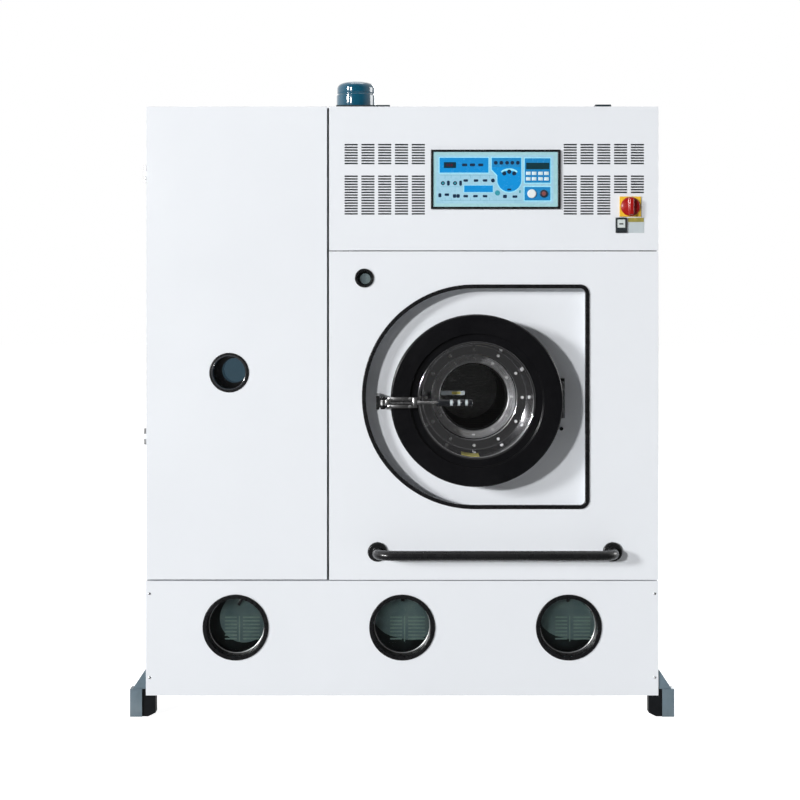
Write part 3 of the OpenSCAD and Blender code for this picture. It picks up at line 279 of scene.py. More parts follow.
def remapNode(tree, value, low, high, toLow=0.0, toHigh=1.0):
    node = addNode(tree, "ShaderNodeMapRange")
    labels = ("Value", "From Min", "From Max", "To Min", "To Max")
    for label, number in zip(labels, (value, low, high, toLow, toHigh)):
        feed(tree, node.inputs[label], number)
    return node.outputs["Result"]


def mixColour(tree, factor, first, second):
    node = addNode(tree, "ShaderNodeMix", data_type="RGBA")
    tree.links.new(factor, node.inputs[0])
    for socket, value in ((node.inputs[6], first), (node.inputs[7], second)):
        feed(tree, socket, (*value, 1.0) if isinstance(value, (tuple, list)) else value)
    return node.outputs[2]


# Every group takes a Vector and gives one number. Its other inputs are of their first values' kind.
def newGroup(name, **inputs):
    group = bpy.data.node_groups.new(name, "ShaderNodeTree")
    group.interface.new_socket("Vector", in_out="INPUT", socket_type="NodeSocketVector")
    for label, value in inputs.items():
        kind = "NodeSocketVector" if isinstance(value, tuple) else "NodeSocketFloat"
        group.interface.new_socket(label, in_out="INPUT", socket_type=kind).default_value = value
    group.interface.new_socket("Value", in_out="OUTPUT", socket_type="NodeSocketFloat")
    return group, group.nodes.new("NodeGroupInput").outputs, group.nodes.new("NodeGroupOutput").inputs[0]


def makePatchGroup():  # slow cloudy change from Low to High, for roughness and tone
    group, given, result = newGroup("patchTone", Scale=4.0, Low=0.0, High=1.0)
    cloud = noiseNode(group, given["Vector"], given["Scale"], 4.0, 0.55)
    group.links.new(remapNode(group, cloud, 0.32, 0.68, given["Low"], given["High"]), result)
    return group


def makePeelGroup():  # the fine uneven skin of sprayed paint or moulded plastic
    group, given, result = newGroup("paintPeel", Scale=600.0)
    coarse = noiseNode(group, given["Vector"], given["Scale"], 1.0)
    fine = noiseNode(group, given["Vector"], mathNode(group, "MULTIPLY", given["Scale"], 3.1), 1.0)
    group.links.new(mathNode(group, "ADD", coarse, mathNode(group, "MULTIPLY", fine, 0.4)), result)
    return group


def makeBrushGroup():  # long fine scratches: noise squeezed across the brushing direction
    group, given, result = newGroup("brushLines", Stretch=(1.0, 1.0, 30.0), Scale=60.0)
    squeezed = vectorNode(group, "MULTIPLY", given["Vector"], given["Stretch"])
    lines = noiseNode(group, squeezed, given["Scale"], 3.0, 0.6)
    group.links.new(remapNode(group, lines, 0.3, 0.7), result)
    return group


def makeLatheGroup():  # rings left by turning: noise of the distance from an axis along y
    group, given, result = newGroup("latheRings", Centre=drumAxis, Scale=900.0)
    x, y, z = splitNode(group, vectorNode(group, "SUBTRACT", given["Vector"], given["Centre"]))
    back = addNode(group, "ShaderNodeCombineXYZ")
    group.links.new(lengthNode(group, x, z), back.inputs["X"])
    group.links.new(y, back.inputs["Y"])
    rings = noiseNode(group, back.outputs[0], given["Scale"], 2.0, 0.6)
    group.links.new(remapNode(group, rings, 0.3, 0.7), result)
    return group


def makeDustGroup():  # a thin film that gathers low down and in cloudy patches
    group, given, result = newGroup("floorDust", Height=0.25, Amount=0.3)
    low = remapNode(group, splitNode(group, given["Vector"])[2], given["Height"], 0.0)
    cloud = noiseNode(group, given["Vector"], 9.0, 5.0, 0.65)
    patchy = mathNode(group, "MULTIPLY", low, remapNode(group, cloud, 0.35, 0.75))
    group.links.new(mathNode(group, "MULTIPLY", patchy, given["Amount"]), result)
    return group


# Punched sheet round the drum's axis: rows of round holes, each the distance from the middle of its own
# cell of (angle, y) with every other row set half a cell on, and none within the inner radius. The flat
# back wall beyond the hub plate is painted dark as shade, with square cells of (x, z) and holes so wide
# that only their corners stay.
def makeHolesAndShadeGroup():
    group, given, result = newGroup("holesAndBackShade", Centre=drumAxis, Around=25.0, Pitch=0.016, Hole=0.26,
                                    Inner=0.39, Hub=0.107, Cell=0.008, Wide=0.55, Deep=-0.15)

    def calc(operation, *values):
        return mathNode(group, operation, *values)

    def fromMiddle(value):
        return calc("SUBTRACT", calc("FRACT", value), 0.5)

    x, y, z = splitNode(group, vectorNode(group, "SUBTRACT", given["Vector"], given["Centre"]))
    radius = lengthNode(group, x, z)
    turns = calc("MULTIPLY", calc("ARCTAN2", z, x), given["Around"])
    rows = calc("DIVIDE", y, given["Pitch"])
    odd = calc("MULTIPLY", calc("MODULO", calc("FLOOR", rows), 2.0), 0.5)
    gap = lengthNode(group, fromMiddle(calc("ADD", turns, odd)), fromMiddle(rows))
    curved = calc("GREATER_THAN", radius, given["Inner"])
    near = lengthNode(group, *(fromMiddle(calc("DIVIDE", way, given["Cell"])) for way in (x, z)))
    flat = calc("MULTIPLY", calc("GREATER_THAN", radius, given["Hub"]),
                calc("GREATER_THAN", y, given["Deep"]))
    # painted shade: most of the flat back wall takes the hole colour
    backWallShade = calc("MULTIPLY", calc("LESS_THAN", near, given["Wide"]),
                calc("MULTIPLY", flat, calc("SUBTRACT", 1.0, curved)))
    wall = calc("MULTIPLY", calc("LESS_THAN", gap, given["Hole"]), curved)
    group.links.new(calc("MAXIMUM", wall, backWallShade), result)
    return group


groups = {"patch": makePatchGroup(), "peel": makePeelGroup(), "brush": makeBrushGroup(),
          "lathe": makeLatheGroup(), "dust": makeDustGroup(), "holesAndShade": makeHolesAndShadeGroup()}


def useGroup(tree, key, vector, **values):
    node = addNode(tree, "ShaderNodeGroup", node_tree=groups[key])
    tree.links.new(vector, node.inputs["Vector"])
    for label, value in values.items():
        node.inputs[label].default_value = value
    return node.outputs[0]


# materials

looks = {}
dustColour = (0.42, 0.40, 0.37)
holeAndShadeColour = (0.006, 0.006, 0.007)


def startMaterial(name, **settings):
    material = bpy.data.materials.new(name)
    material.use_nodes = True
    tree = material.node_tree
    tree.nodes.clear()
    out = addNode(tree, "ShaderNodeOutputMaterial")
    shader = addNode(tree, "ShaderNodeBsdfPrincipled")
    tree.links.new(shader.outputs[0], out.inputs["Surface"])
    for label, value in settings.items():
        shader.inputs[label.replace("_", " ")].default_value = value
    looks[name] = material
    return tree, shader.inputs, addNode(tree, "ShaderNodeTexCoord").outputs["Object"]


def bumpFrom(tree, inputs, height, strength, distance):
    bump = addNode(tree, "ShaderNodeBump")
    bump.inputs["Strength"].default_value = strength
    bump.inputs["Distance"].default_value = distance
    tree.links.new(height, bump.inputs["Height"])
    tree.links.new(bump.outputs[0], inputs["Normal"])


# Paint, enamel, print and moulded plastic: a base colour and a shade of it in soft patches, roughness
# from low to high, and a fine skin. patches and peel say how many go to a metre.
def coated(name, colour, shade, rough, patches=3.0, peel=500.0, bump=0.2, depth=0.0002, coat=0.0,
           coatRough=0.1, ior=1.5, dust=0.0, dustHeight=0.3, glow=(1.0, 1.0, 1.0), glowLevel=0.0):
    tree, inputs, coord = startMaterial(name, Coat_Weight=coat, Coat_Roughness=coatRough, IOR=ior,
                                        Emission_Color=(*glow, 1.0), Emission_Strength=glowLevel)
    base = mixColour(tree, useGroup(tree, "patch", coord, Scale=patches), colour, shade)
    if dust:
        film = useGroup(tree, "dust", coord, Height=dustHeight, Amount=dust)
        base = mixColour(tree, film, base, dustColour)
    tree.links.new(base, inputs["Base Color"])
    tree.links.new(useGroup(tree, "patch", coord, Scale=patches * 5.3, Low=rough[0], High=rough[1]),
                   inputs["Roughness"])
    bumpFrom(tree, inputs, useGroup(tree, "peel", coord, Scale=peel), bump, depth)


# Bare metal: brushed along one way, or turned about an axis along y when lathe gives its centre.
def metal(name, colour, shade, rough, scale, patches, stretch=None, lathe=None, bump=0.1, depth=0.0001):
    tree, inputs, coord = startMaterial(name, Metallic=1.0)
    if lathe:
        marks = useGroup(tree, "lathe", coord, Centre=lathe, Scale=scale)
    else:
        marks = useGroup(tree, "brush", coord, Stretch=stretch, Scale=scale)
    cloud = useGroup(tree, "patch", coord, Scale=patches)
    both = mathNode(tree, "ADD", *(mathNode(tree, "MULTIPLY", part, share)
                                   for part, share in ((marks, 0.6), (cloud, 0.4))))
    tree.links.new(mixColour(tree, both, colour, shade), inputs["Base Color"])
    tree.links.new(remapNode(tree, both, 0.0, 1.0, *rough), inputs["Roughness"])
    bumpFrom(tree, inputs, marks, bump, depth)


def glass(name, colour, shade, rough):
    tree, inputs, coord = startMaterial(name, Transmission_Weight=1.0, IOR=1.5, Metallic=0.0)
    smear = useGroup(tree, "patch", coord, Scale=14.0)
    tree.links.new(mixColour(tree, smear, colour, shade), inputs["Base Color"])
    tree.links.new(remapNode(tree, smear, 0.0, 1.0, *rough), inputs["Roughness"])


# The holes and the painted shade of the drum's flat back wall are nearly black.
def punched(name, colour, shade, rough):
    tree, inputs, coord = startMaterial(name)
    marks = useGroup(tree, "brush", coord, Stretch=(1.0, 1.0, 20.0), Scale=30.0)
    holesAndShade = useGroup(tree, "holesAndShade", coord)
    steel = mixColour(tree, marks, colour, shade)
    tree.links.new(mixColour(tree, holesAndShade, steel, holeAndShadeColour), inputs["Base Color"])
    tree.links.new(remapNode(tree, holesAndShade, 0.0, 1.0, 1.0, 0.0), inputs["Metallic"])
    brushed = remapNode(tree, marks, 0.0, 1.0, *rough)
    tree.links.new(mathNode(tree, "MAXIMUM", brushed, mathNode(tree, "MULTIPLY", holesAndShade, 0.9)),
                   inputs["Roughness"])
    bumpFrom(tree, inputs, mathNode(tree, "SUBTRACT", 1.0, holesAndShade), 0.4, 0.001)


# name, base colour, shade, roughness from and to, patches, peel, bump
coated("whitePaint", (0.785, 0.81, 0.845), (0.765, 0.79, 0.825), (0.30, 0.38), 1.3, 420, 0.12, coat=0.25,
       coatRough=0.16, dust=0.10, dustHeight=0.12)
coated("framePaint", (0.17, 0.18, 0.19), (0.13, 0.14, 0.15), (0.45, 0.6), 3, 300, 0.3, dust=0.5,
       dustHeight=0.3)
coated("footPaint", (0.14, 0.195, 0.235), (0.10, 0.145, 0.175), (0.3, 0.45), 14, 260, 0.3, dust=0.2,
       dustHeight=0.12)
coated("footDark", (0.011, 0.012, 0.014), (0.006, 0.007, 0.008), (0.3, 0.4), 14, 260, 0.2, ior=1.2)
# painted shade for the sheet behind the header's slots
coated("louvrePaintedShade", (0.085, 0.095, 0.105), (0.06, 0.068, 0.075), (0.4, 0.5), 6, 420, 0.1)
coated("blackPaint", (0.006, 0.0065, 0.007), (0.010, 0.010, 0.011), (0.22, 0.34), 9, 500, 0.15, coat=0.2,
       coatRough=0.12)
coated("ringBlack", (0.0035, 0.0036, 0.0045), (0.006, 0.006, 0.007), (0.17, 0.25), 7, 330, 0.18, ior=1.4)
coated("blackRubber", (0.0045, 0.0048, 0.0055), (0.008, 0.008, 0.009), (0.24, 0.34), 18, 700, 0.2, ior=1.4)
coated("blackPlastic", (0.006, 0.0065, 0.0075), (0.010, 0.0105, 0.0115), (0.2, 0.3), 15, 900, 0.2)
coated("gripBlack", (0.008, 0.009, 0.011), (0.014, 0.015, 0.018), (0.14, 0.22), 30, 600, 0.08, coat=0.3,
       coatRough=0.08)
coated("scalePlate", (0.170, 0.200, 0.196), (0.120, 0.144, 0.144), (0.45, 0.55), 22, 500, 0.15, ior=1.1)
# painted shade: the dark shape on the level plates behind the window glasses
coated("scalePaintedShade", (0.0035, 0.0045, 0.005), (0.010, 0.013, 0.014), (0.5, 0.6), 26, 500, 0.1, ior=1.05)
coated("scaleLine", (0.25, 0.30, 0.27), (0.19, 0.235, 0.215), (0.4, 0.5), 40, 700, 0.1, ior=1.1)
coated("controlFace", (0.40, 0.66, 0.70), (0.34, 0.61, 0.66), (0.22, 0.32), 6, 900, 0.06, coat=0.3,
       coatRough=0.12)
coated("fieldPale", (0.36, 0.62, 0.76), (0.32, 0.58, 0.72), (0.24, 0.32), 9, 900, 0.05)
coated("edgePale", (0.35, 0.80, 0.95), (0.30, 0.76, 0.93), (0.24, 0.32), 9, 900, 0.05)
coated("inkBlue", (0.004, 0.29, 0.70), (0.008, 0.25, 0.62), (0.2, 0.3), 12, 900, 0.05, coat=0.3,
       coatRough=0.12)
coated("inkDeep", (0.015, 0.24, 0.55), (0.016, 0.21, 0.48), (0.2, 0.3), 12, 900, 0.05)
coated("inkNavy", (0.008, 0.025, 0.06), (0.012, 0.035, 0.08), (0.2, 0.3), 20, 900, 0.05)
coated("inkTeal", (0.05, 0.34, 0.42), (0.04, 0.29, 0.37), (0.2, 0.3), 20, 900, 0.05)
coated("displayDark", (0.006, 0.03, 0.045), (0.008, 0.04, 0.055), (0.08, 0.14), 20, 900, 0.03, coat=0.6,
       coatRough=0.04)
coated("keyWhite", (0.66, 0.80, 0.83), (0.60, 0.75, 0.79), (0.3, 0.42), 30, 900, 0.06)
coated("yellowPlastic", (0.85, 0.52, 0.03), (0.78, 0.46, 0.03), (0.28, 0.4), 20, 800, 0.12, coat=0.2)
coated("redPlastic", (0.38, 0.005, 0.004), (0.30, 0.004, 0.003), (0.2, 0.3), 22, 800, 0.08, coat=0.35,
       coatRough=0.1)
coated("meterBlack", (0.02, 0.026, 0.03), (0.03, 0.036, 0.04), (0.25, 0.38), 26, 800, 0.12)
coated("meterFace", (0.62, 0.67, 0.66), (0.56, 0.62, 0.61), (0.3, 0.4), 30, 700, 0.05)
coated("barePlate", (0.52, 0.58, 0.60), (0.47, 0.53, 0.56), (0.3, 0.42), 18, 500, 0.08)
coated("sightGrey", (0.72, 0.73, 0.75), (0.30, 0.31, 0.33), (0.45, 0.55), 34, 500, 0.1, ior=1.1)
# painted light: the disc in the still's neck glows to stand for light inside the neck
coated("stillPaintedGlow", (0.125, 0.165, 0.205), (0.085, 0.125, 0.145), (0.4, 0.5), 16, 400, 0.1, ior=1.1,
       glow=(0.45, 0.75, 1.0), glowLevel=0.12)
coated("displayRed", (0.10, 0.012, 0.03), (0.07, 0.012, 0.03), (0.12, 0.2), 30, 900, 0.03)
coated("lipGrey", (0.030, 0.033, 0.037), (0.045, 0.048, 0.053), (0.10, 0.16), 30, 600, 0.04, coat=0.5,
       coatRough=0.08)
coated("stopRed", (0.26, 0.085, 0.085), (0.19, 0.06, 0.065), (0.2, 0.3), 30, 800, 0.04)
coated("stripOlive", (0.36, 0.30, 0.06), (0.24, 0.22, 0.05), (0.35, 0.45), 60, 700, 0.06)
coated("labelYellow", (0.62, 0.56, 0.16), (0.55, 0.49, 0.13), (0.35, 0.45), 26, 700, 0.06)
coated("castPaint", (0.10, 0.11, 0.12), (0.07, 0.08, 0.09), (0.5, 0.7), 10, 140, 0.6, depth=0.0006)
coated("motorBlue", (0.035, 0.11, 0.22), (0.028, 0.09, 0.18), (0.32, 0.45), 7, 240, 0.3, dust=0.2,
       dustHeight=0.9)
coated("beltRubber", (0.018, 0.018, 0.018), (0.03, 0.03, 0.029), (0.6, 0.8), 24, 500, 0.4)
coated("darkPaint", (0.018, 0.030, 0.036), (0.012, 0.020, 0.025), (0.3, 0.45), 12, 320, 0.2, coat=0.15)
coated("tealPaint", (0.005, 0.085, 0.145), (0.004, 0.068, 0.12), (0.07, 0.13), 6, 220, 0.04, coat=0.8,
       coatRough=0.03)
coated("buttonWhite", (0.80, 0.84, 0.83), (0.74, 0.79, 0.79), (0.25, 0.35), 30, 800, 0.05, coat=0.2)
coated("buttonDark", (0.03, 0.04, 0.06), (0.02, 0.03, 0.045), (0.2, 0.3), 30, 800, 0.05, coat=0.2)

# name, base colour, shade, roughness from and to, scale of the marks, patches
metal("zincSheet", (0.50, 0.52, 0.54), (0.36, 0.38, 0.40), (0.32, 0.5), 26, 20, stretch=(1.0, 1.0, 4.0))
metal("boltBright", (0.90, 0.90, 0.90), (0.74, 0.74, 0.75), (0.38, 0.5), 90, 40, stretch=(1.0, 1.0, 1.0),
      bump=0.02)
metal("boltSteel", (0.72, 0.72, 0.72), (0.52, 0.52, 0.53), (0.16, 0.3), 90, 40, stretch=(1.0, 6.0, 6.0))
metal("stainless", (0.60, 0.61, 0.62), (0.48, 0.49, 0.50), (0.22, 0.34), 30, 5, stretch=(1.0, 1.0, 24.0))
metal("polishedSteel", (0.66, 0.66, 0.67), (0.58, 0.58, 0.60), (0.05, 0.12), 900, 12, lathe=drumAxis,
      bump=0.015)
metal("beadSteel", (0.80, 0.81, 0.81), (0.68, 0.69, 0.70), (0.26, 0.36), 60, 18, stretch=(1.0, 1.0, 1.0),
      bump=0.05)
metal("turnedSteel", (0.82, 0.82, 0.83), (0.68, 0.68, 0.70), (0.24, 0.34), 620, 9, lathe=drumAxis, bump=0.45,
      depth=0.0006)
metal("pipeSteel", (0.46, 0.47, 0.48), (0.33, 0.34, 0.35), (0.28, 0.42), 50, 12, stretch=(8.0, 1.0, 8.0))
metal("pulleyIron", (0.20, 0.20, 0.21), (0.13, 0.13, 0.135), (0.35, 0.5), 400, 14, lathe=(0.571, 0.0, 0.589))

glass("clearGlass", (0.72, 0.80, 0.80), (0.66, 0.75, 0.76), (0.0, 0.04))
glass("doorGlass", (0.83, 0.83, 0.82), (0.78, 0.78, 0.78), (0.0, 0.05))
punched("punchedSteel", (0.60, 0.61, 0.62), (0.47, 0.48, 0.49), (0.24, 0.36))
print("materials:", len(looks))

# camera and light

camera = dict(x=-0.007, distance=5.0, height=1.366, lens=68.66, sensor=36.0, shiftY=-0.125)


def makeCamera():
    data = bpy.data.cameras.new("photoCamera")
    data.lens, data.sensor_width, data.shift_y = camera["lens"], camera["sensor"], camera["shiftY"]
    data.clip_start, data.clip_end = 0.1, 100.0
    obj = bpy.data.objects.new("photoCamera", data)
    obj.location = (camera["x"], frontY - camera["distance"], camera["height"])
    obj.rotation_euler = (math.radians(90), 0, 0)
    bpy.context.scene.collection.objects.link(obj)
    bpy.context.scene.camera = obj


# The first two stand where the shadows of the photo put them. The others light what it doesn't show.
lamps = {
    "keyLamp": dict(at=(-15.24, -25.96, 5.95), aim=(0.0, -0.6, 1.0), size=1.4, power=5000),
    "sideLamp": dict(at=(-22.48, -19.46, 7.24), aim=(0.0, -0.6, 1.0), size=4.1, power=5450),
    "topLamp": dict(at=(0.0, 0.9, 6.5), aim=(0.0, 0.5, 2.0), size=3.0, power=85),
    "rearLamp": dict(at=(2.4, 5.0, 3.4), aim=(0.0, 0.4, 1.0), size=3.0, power=235, colour=(0.98, 0.99, 1.0)),
    "rightLamp": dict(at=(7.0, 1.2, 3.0), aim=(0.8, 0.0, 1.0), size=3.0, power=165),
}


def makeLamps():
    for name, lamp in lamps.items():
        data = bpy.data.lights.new(name, "AREA")
        data.shape, data.size, data.size_y = "RECTANGLE", lamp["size"], lamp["size"]
        data.energy, data.color = lamp["power"], lamp.get("colour", (1.0, 1.0, 1.0))
        obj = bpy.data.objects.new(name, data)
        obj.location = lamp["at"]
        way = np.array(lamp["aim"]) - np.array(lamp["at"])
        obj.rotation_euler = (math.atan2(math.hypot(way[0], way[1]), -way[2]), 0,
                              math.atan2(-way[0], way[1]))
        bpy.context.scene.collection.objects.link(obj)


# How bright the room is in front of the machine, behind it and all round, and where the two halves meet
# in the world's direction and on the floor.
room = dict(front=0.05, back=1.0, ambient=0.075, seam=(-0.8, 0.0), floor=0.60, floorGlow=0.95,
            floorFront=0.03, floorSeam=(-1.2, 0.8), reach=40.0)


# The world is white where the camera, a mirror or a clear pane looks past the machine, and a dimmer
# room in front of it, where metal and glass reflect it.
def makeWorld():
    world = bpy.data.worlds.new("studio")
    world.use_nodes = True
    bpy.context.scene.world = world
    tree = world.node_tree
    tree.nodes.clear()
    out = addNode(tree, "ShaderNodeOutputWorld")
    sky = addNode(tree, "ShaderNodeBackground")
    sky.inputs["Color"].default_value = (1.0, 1.0, 1.0, 1.0)
    path = addNode(tree, "ShaderNodeLightPath").outputs
    way = addNode(tree, "ShaderNodeTexCoord").outputs["Generated"]
    seen = remapNode(tree, splitNode(tree, way)[1], *room["seam"], room["front"], room["back"])
    clear = mathNode(tree, "MAXIMUM", path["Is Glossy Ray"], path["Is Transmission Ray"])
    level = remapNode(tree, clear, 0.0, 1.0, room["ambient"], seen)
    level = remapNode(tree, path["Is Camera Ray"], 0.0, 1.0, level, 1.0)
    tree.links.new(level, sky.inputs["Strength"])
    tree.links.new(sky.outputs[0], out.inputs[0])


# In reflections, and in those that come back through a pane, the floor in front of the machine belongs
# to the dim half of the room. Light on its way through a pane to a plate behind it still finds it pale.
def makeFloor():
    material = bpy.data.materials.new("paleFloor")
    material.use_nodes = True
    tree = material.node_tree
    tree.nodes.clear()
    out = addNode(tree, "ShaderNodeOutputMaterial")
    matt = addNode(tree, "ShaderNodeBsdfDiffuse")
    glow = addNode(tree, "ShaderNodeEmission")
    path = addNode(tree, "ShaderNodeLightPath").outputs
    depth = splitNode(tree, addNode(tree, "ShaderNodeTexCoord").outputs["Object"])[1]
    far = remapNode(tree, depth, *room["floorSeam"], room["floorFront"], room["floorGlow"])
    near = remapNode(tree, depth, *room["floorSeam"], 1.0, 0.0)
    lighting = mathNode(tree, "MULTIPLY", path["Is Transmission Ray"],
                        mathNode(tree, "GREATER_THAN", path["Diffuse Depth"], 0.5))
    clear = mathNode(tree, "MAXIMUM", path["Is Camera Ray"], lighting)
    bounced = mathNode(tree, "MAXIMUM", path["Is Glossy Ray"], path["Is Transmission Ray"])
    mirrored = mathNode(tree, "MULTIPLY", bounced, mathNode(tree, "SUBTRACT", 1.0, clear))
    seen = mathNode(tree, "MAXIMUM", mathNode(tree, "MULTIPLY", clear, room["floorGlow"]),
                    mathNode(tree, "MULTIPLY", mirrored, far))
    tree.links.new(seen, glow.inputs["Strength"])
    pale, dim = (room["floor"],) * 3, (room["floorFront"],) * 3
    shade = mixColour(tree, mathNode(tree, "MULTIPLY", mirrored, near), pale, dim)
    tree.links.new(shade, matt.inputs["Color"])
    both = addNode(tree, "ShaderNodeAddShader")
    tree.links.new(matt.outputs[0], both.inputs[0])
    tree.links.new(glow.outputs[0], both.inputs[1])
    tree.links.new(both.outputs[0], out.inputs[0])
    r = room["reach"]
    mesh = bpy.data.meshes.new("studioFloor")
    mesh.from_pydata([(-r, -r, 0), (r, -r, 0), (r, r, 0), (-r, r, 0)], [], [(0, 1, 2, 3)])
    mesh.materials.append(material)
    obj = bpy.data.objects.new("studioFloor", mesh)
    bpy.context.scene.collection.objects.link(obj)


makeCamera()
makeLamps()
makeWorld()
makeFloor()
bpy.context.scene.view_settings.view_transform = "Standard"
print("camera, lamps and floor ready")

# the machine's own parts in their finishes

# look: the nodes that wear it, and how far their edges are rounded in millimetres
shells = {
    "whitePaint": dict(header_panel=0.4, middle_panel=0.9, lower_band=0.9, left_side_panel=0.6,
                       right_side_panel=0.6, top_panel=0.6, rear_panel=0.5, door_recess=0.6,
                       service_door=0.9),
    "blackRubber": dict(door_trim=2.2, window_bezels=1.0, service_port_trim=0.9, loading_gasket=1.0),
    "polishedSteel": dict(mouth_collar=1.2),
    "blackPaint": dict(loading_hinge_bracket=1.0, latch_keeper=1.5, handrail=0.8),
    "blackPlastic": dict(sight_bezel=0.8, control_bezel=1.2),
    "controlFace": dict(control_unit=0.5),
    "yellowPlastic": dict(switch_plate=1.2),
    "meterBlack": dict(hour_meter=1.4),
    "barePlate": dict(data_plate=0.3),
    "footPaint": dict(feet=1.2),
    "darkPaint": dict(fan_box=1.5, cable_entry=1.5),
    "boltSteel": dict(service_hinges=0.4, band_screws=0.3),
    "ringBlack": dict(loading_ring=1.6),
    "framePaint": dict(base_frame=2.0, upper_frame=2.0),
    "stainless": dict(tub=0, still_vessel=0, condenser=1.5, water_separator=1.5, filter_housing=1.5,
                      solvent_tank=1.0),
    "motorBlue": dict(solvent_pump=1.5, drive_motor=1.5),
    "castPaint": dict(bearing_housing=1.2),
    "beltRubber": dict(drive_belt=0),
    "pipeSteel": dict(pipework=0, drum_shaft=0.8),
    "zincSheet": dict(air_duct=0.6, divider_panel=0.4, fan_impeller=0),
    "punchedSteel": dict(drum_cage=0),
    "pulleyIron": dict(motor_pulley=0.6),
    "buttonWhite": dict(start_button=1.0),
    "buttonDark": dict(stop_button=1.0),
}
# The other nodes stand on the cabinet.
bodyOf = dict(service_door="service_door", service_port_trim="service_door", loading_ring="loading_door",
              loading_gasket="loading_door", drum_cage="drum", drum_shaft="drum", motor_pulley="motor_rotor",
              fan_impeller="fan", start_button="start_button", stop_button="stop_button")
# node: (second look, the boxes its faces lie in, cuts), in millimetres from the cabinet's front
seconds = {
    # the faces behind the header's slots are painted dark as shade
    "header_panel": ("louvrePaintedShade", [(x, (3, 21.5), (1633, 1892)) for x in ((-200, 86), (515, 805))], ()),
    # the feet's inner blocks, within 852.5 mm of the middle, are nearly black
    "feet": ("footDark", [((-852.5, 852.5), (-50, 1400), (-5, 91))], ((0, -852.4), (0, 852.4), (2, 90.5))),
}


# A look's name in words, apart from two steels that give the plain one's.
def slotOf(look):
    if look in ("polishedSteel", "punchedSteel"):
        return "stainless"
    return "".join("_" + letter.lower() if letter.isupper() else letter for letter in look)


for look, rounding in shells.items():
    for node, bevel in rounding.items():
        body = bodyOf.get(node, "cabinet")
        dressNode(node, look, slotOf(look), body, 0.001 * bevel, *seconds.get(node, ()))
for node, look in (("sight_glasses", "clearGlass"), ("loading_glass", "doorGlass")):
    dressInPlace(node, look)
print("shells:", sum(len(rounding) for rounding in shells.values()))

# loading door

bowl = dict(rim=191.0, rimY=-71.0, wall=186.5, back=-40.0, floorY=95.0, floorR=174.0, wellR=143.0,
            wellY=144.0, lip=108.0, sheet=3.0)
bowlSlip = dict(fromAngle=-105.5, toAngle=-87.0, fromY=-50.0, toY=10.0, steps=(14, 9))
glassRing = [[112.8, 137.8], [112.8, 136.4], [113.8, 134.6], [115.4, 132.6], [116.6, 131.2], [117.4, 131.0],
             [118.8, 131.0], [140.0, 131.0], [141.0, 132.0], [141.0, 137.8]]
boltRings = [dict(count=12, r=160.0, y=95.0, head=5.0, width=5.0),
             dict(count=12, r=128.5, y=131.0, head=5.0, width=4.5)]
drumCentre = (drumX, 0, drumZ)


def makeBowl():
    b, t = bowl, bowl["sheet"]
    inner = [[b["wall"] - t, b["rimY"] + 5], [b["floorR"], b["floorY"]], [b["wellR"], b["floorY"]],
             [b["wellR"], b["wellY"]], [b["lip"], b["wellY"]], [b["lip"], b["wellY"] + t]]
    outer = [[b["wellR"] + t + 1, b["wellY"] + t], [b["wellR"] + t + 1, b["floorY"] + t],
             [b["floorR"] + t, b["floorY"] + t], [b["wall"], b["back"]], [b["wall"], b["rimY"] + t],
             [b["rim"], b["rimY"] + t], [b["rim"], b["rimY"]], [b["wall"] - t + 0.5, b["rimY"]]]
    shape = turned(softProfile(inner + outer, 2.2, 5), drumCentre, sides=144)
    makePiece("doorBowl", "loading_door", [(shape, "polishedSteel")], ["loading_bowl"], 50)


# A bare slip that follows the bowl's cone: its radius falls from wall to floorR over the cone's depth.
def makeBowlLabel():
    b, s = bowl, bowlSlip
    n, m = s["steps"]
    angle, y = np.meshgrid(np.radians(np.linspace(s["fromAngle"], s["toAngle"], n)),
                           np.linspace(s["fromY"], s["toY"], m), indexing="ij")
    slope = (b["floorR"] - b["wall"] + b["sheet"]) / (b["floorY"] - b["rimY"] - 5)
    sheets = []
    for lift in (0.7, 0.1):
        r = b["wall"] - b["sheet"] + slope * (y - b["rimY"] - 5) - lift
        sheets.append(np.stack([drumX + r * np.cos(angle), y, drumZ + r * np.sin(angle)], -1))
    top = gridFaces(n, m, roundCols=False)
    edge = ([k * m for k in range(n)] + [(n - 1) * m + k for k in range(1, m)]
            + [k * m + m - 1 for k in range(n - 2, -1, -1)] + list(range(m - 2, 0, -1)))
    faces = top + [[q + n * m for q in face[::-1]] for face in top]
    faces += [[p, q, q + n * m, p + n * m] for p, q in zip(edge, edge[1:] + edge[:1])]
    slip = (np.concatenate(sheets).reshape(-1, 3), faces)
    makePiece("bowlLabel", "loading_door", [(slip, "labelYellow")])


def makeGlassRing():  # a flat face, and a rounded lip that covers the edge of the glass
    shape = turned(softProfile(glassRing, 0.6, 4), drumCentre, sides=144)
    makePiece("glassRing", "loading_door", [(shape, "turnedSteel")],
              ["loading_glass_ring"], 50)


# A socket-head bolt is a turned profile with a well in its middle; twelve stand on each ring.
def makeDoorBolts():
    shapes = []
    for ring in boltRings:
        w, y = ring["width"], ring["y"]
        top, well = y - ring["head"], y - ring["head"] + 2.5
        profile = [[0.05, well], [w * 0.45, well], [w * 0.5, top], [w - 0.8, top], [w, top + 0.8],
                   [w, y], [0.05, y]]
        for k in range(ring["count"]):
            a = 2 * np.pi * k / ring["count"]
            at = (drumX + ring["r"] * math.sin(a), 0, drumZ + ring["r"] * math.cos(a))
            shapes.append((turned(profile, at, sides=16), "boltBright"))
    makePiece("doorBolts", "loading_door", shapes, ["loading_bolts"])


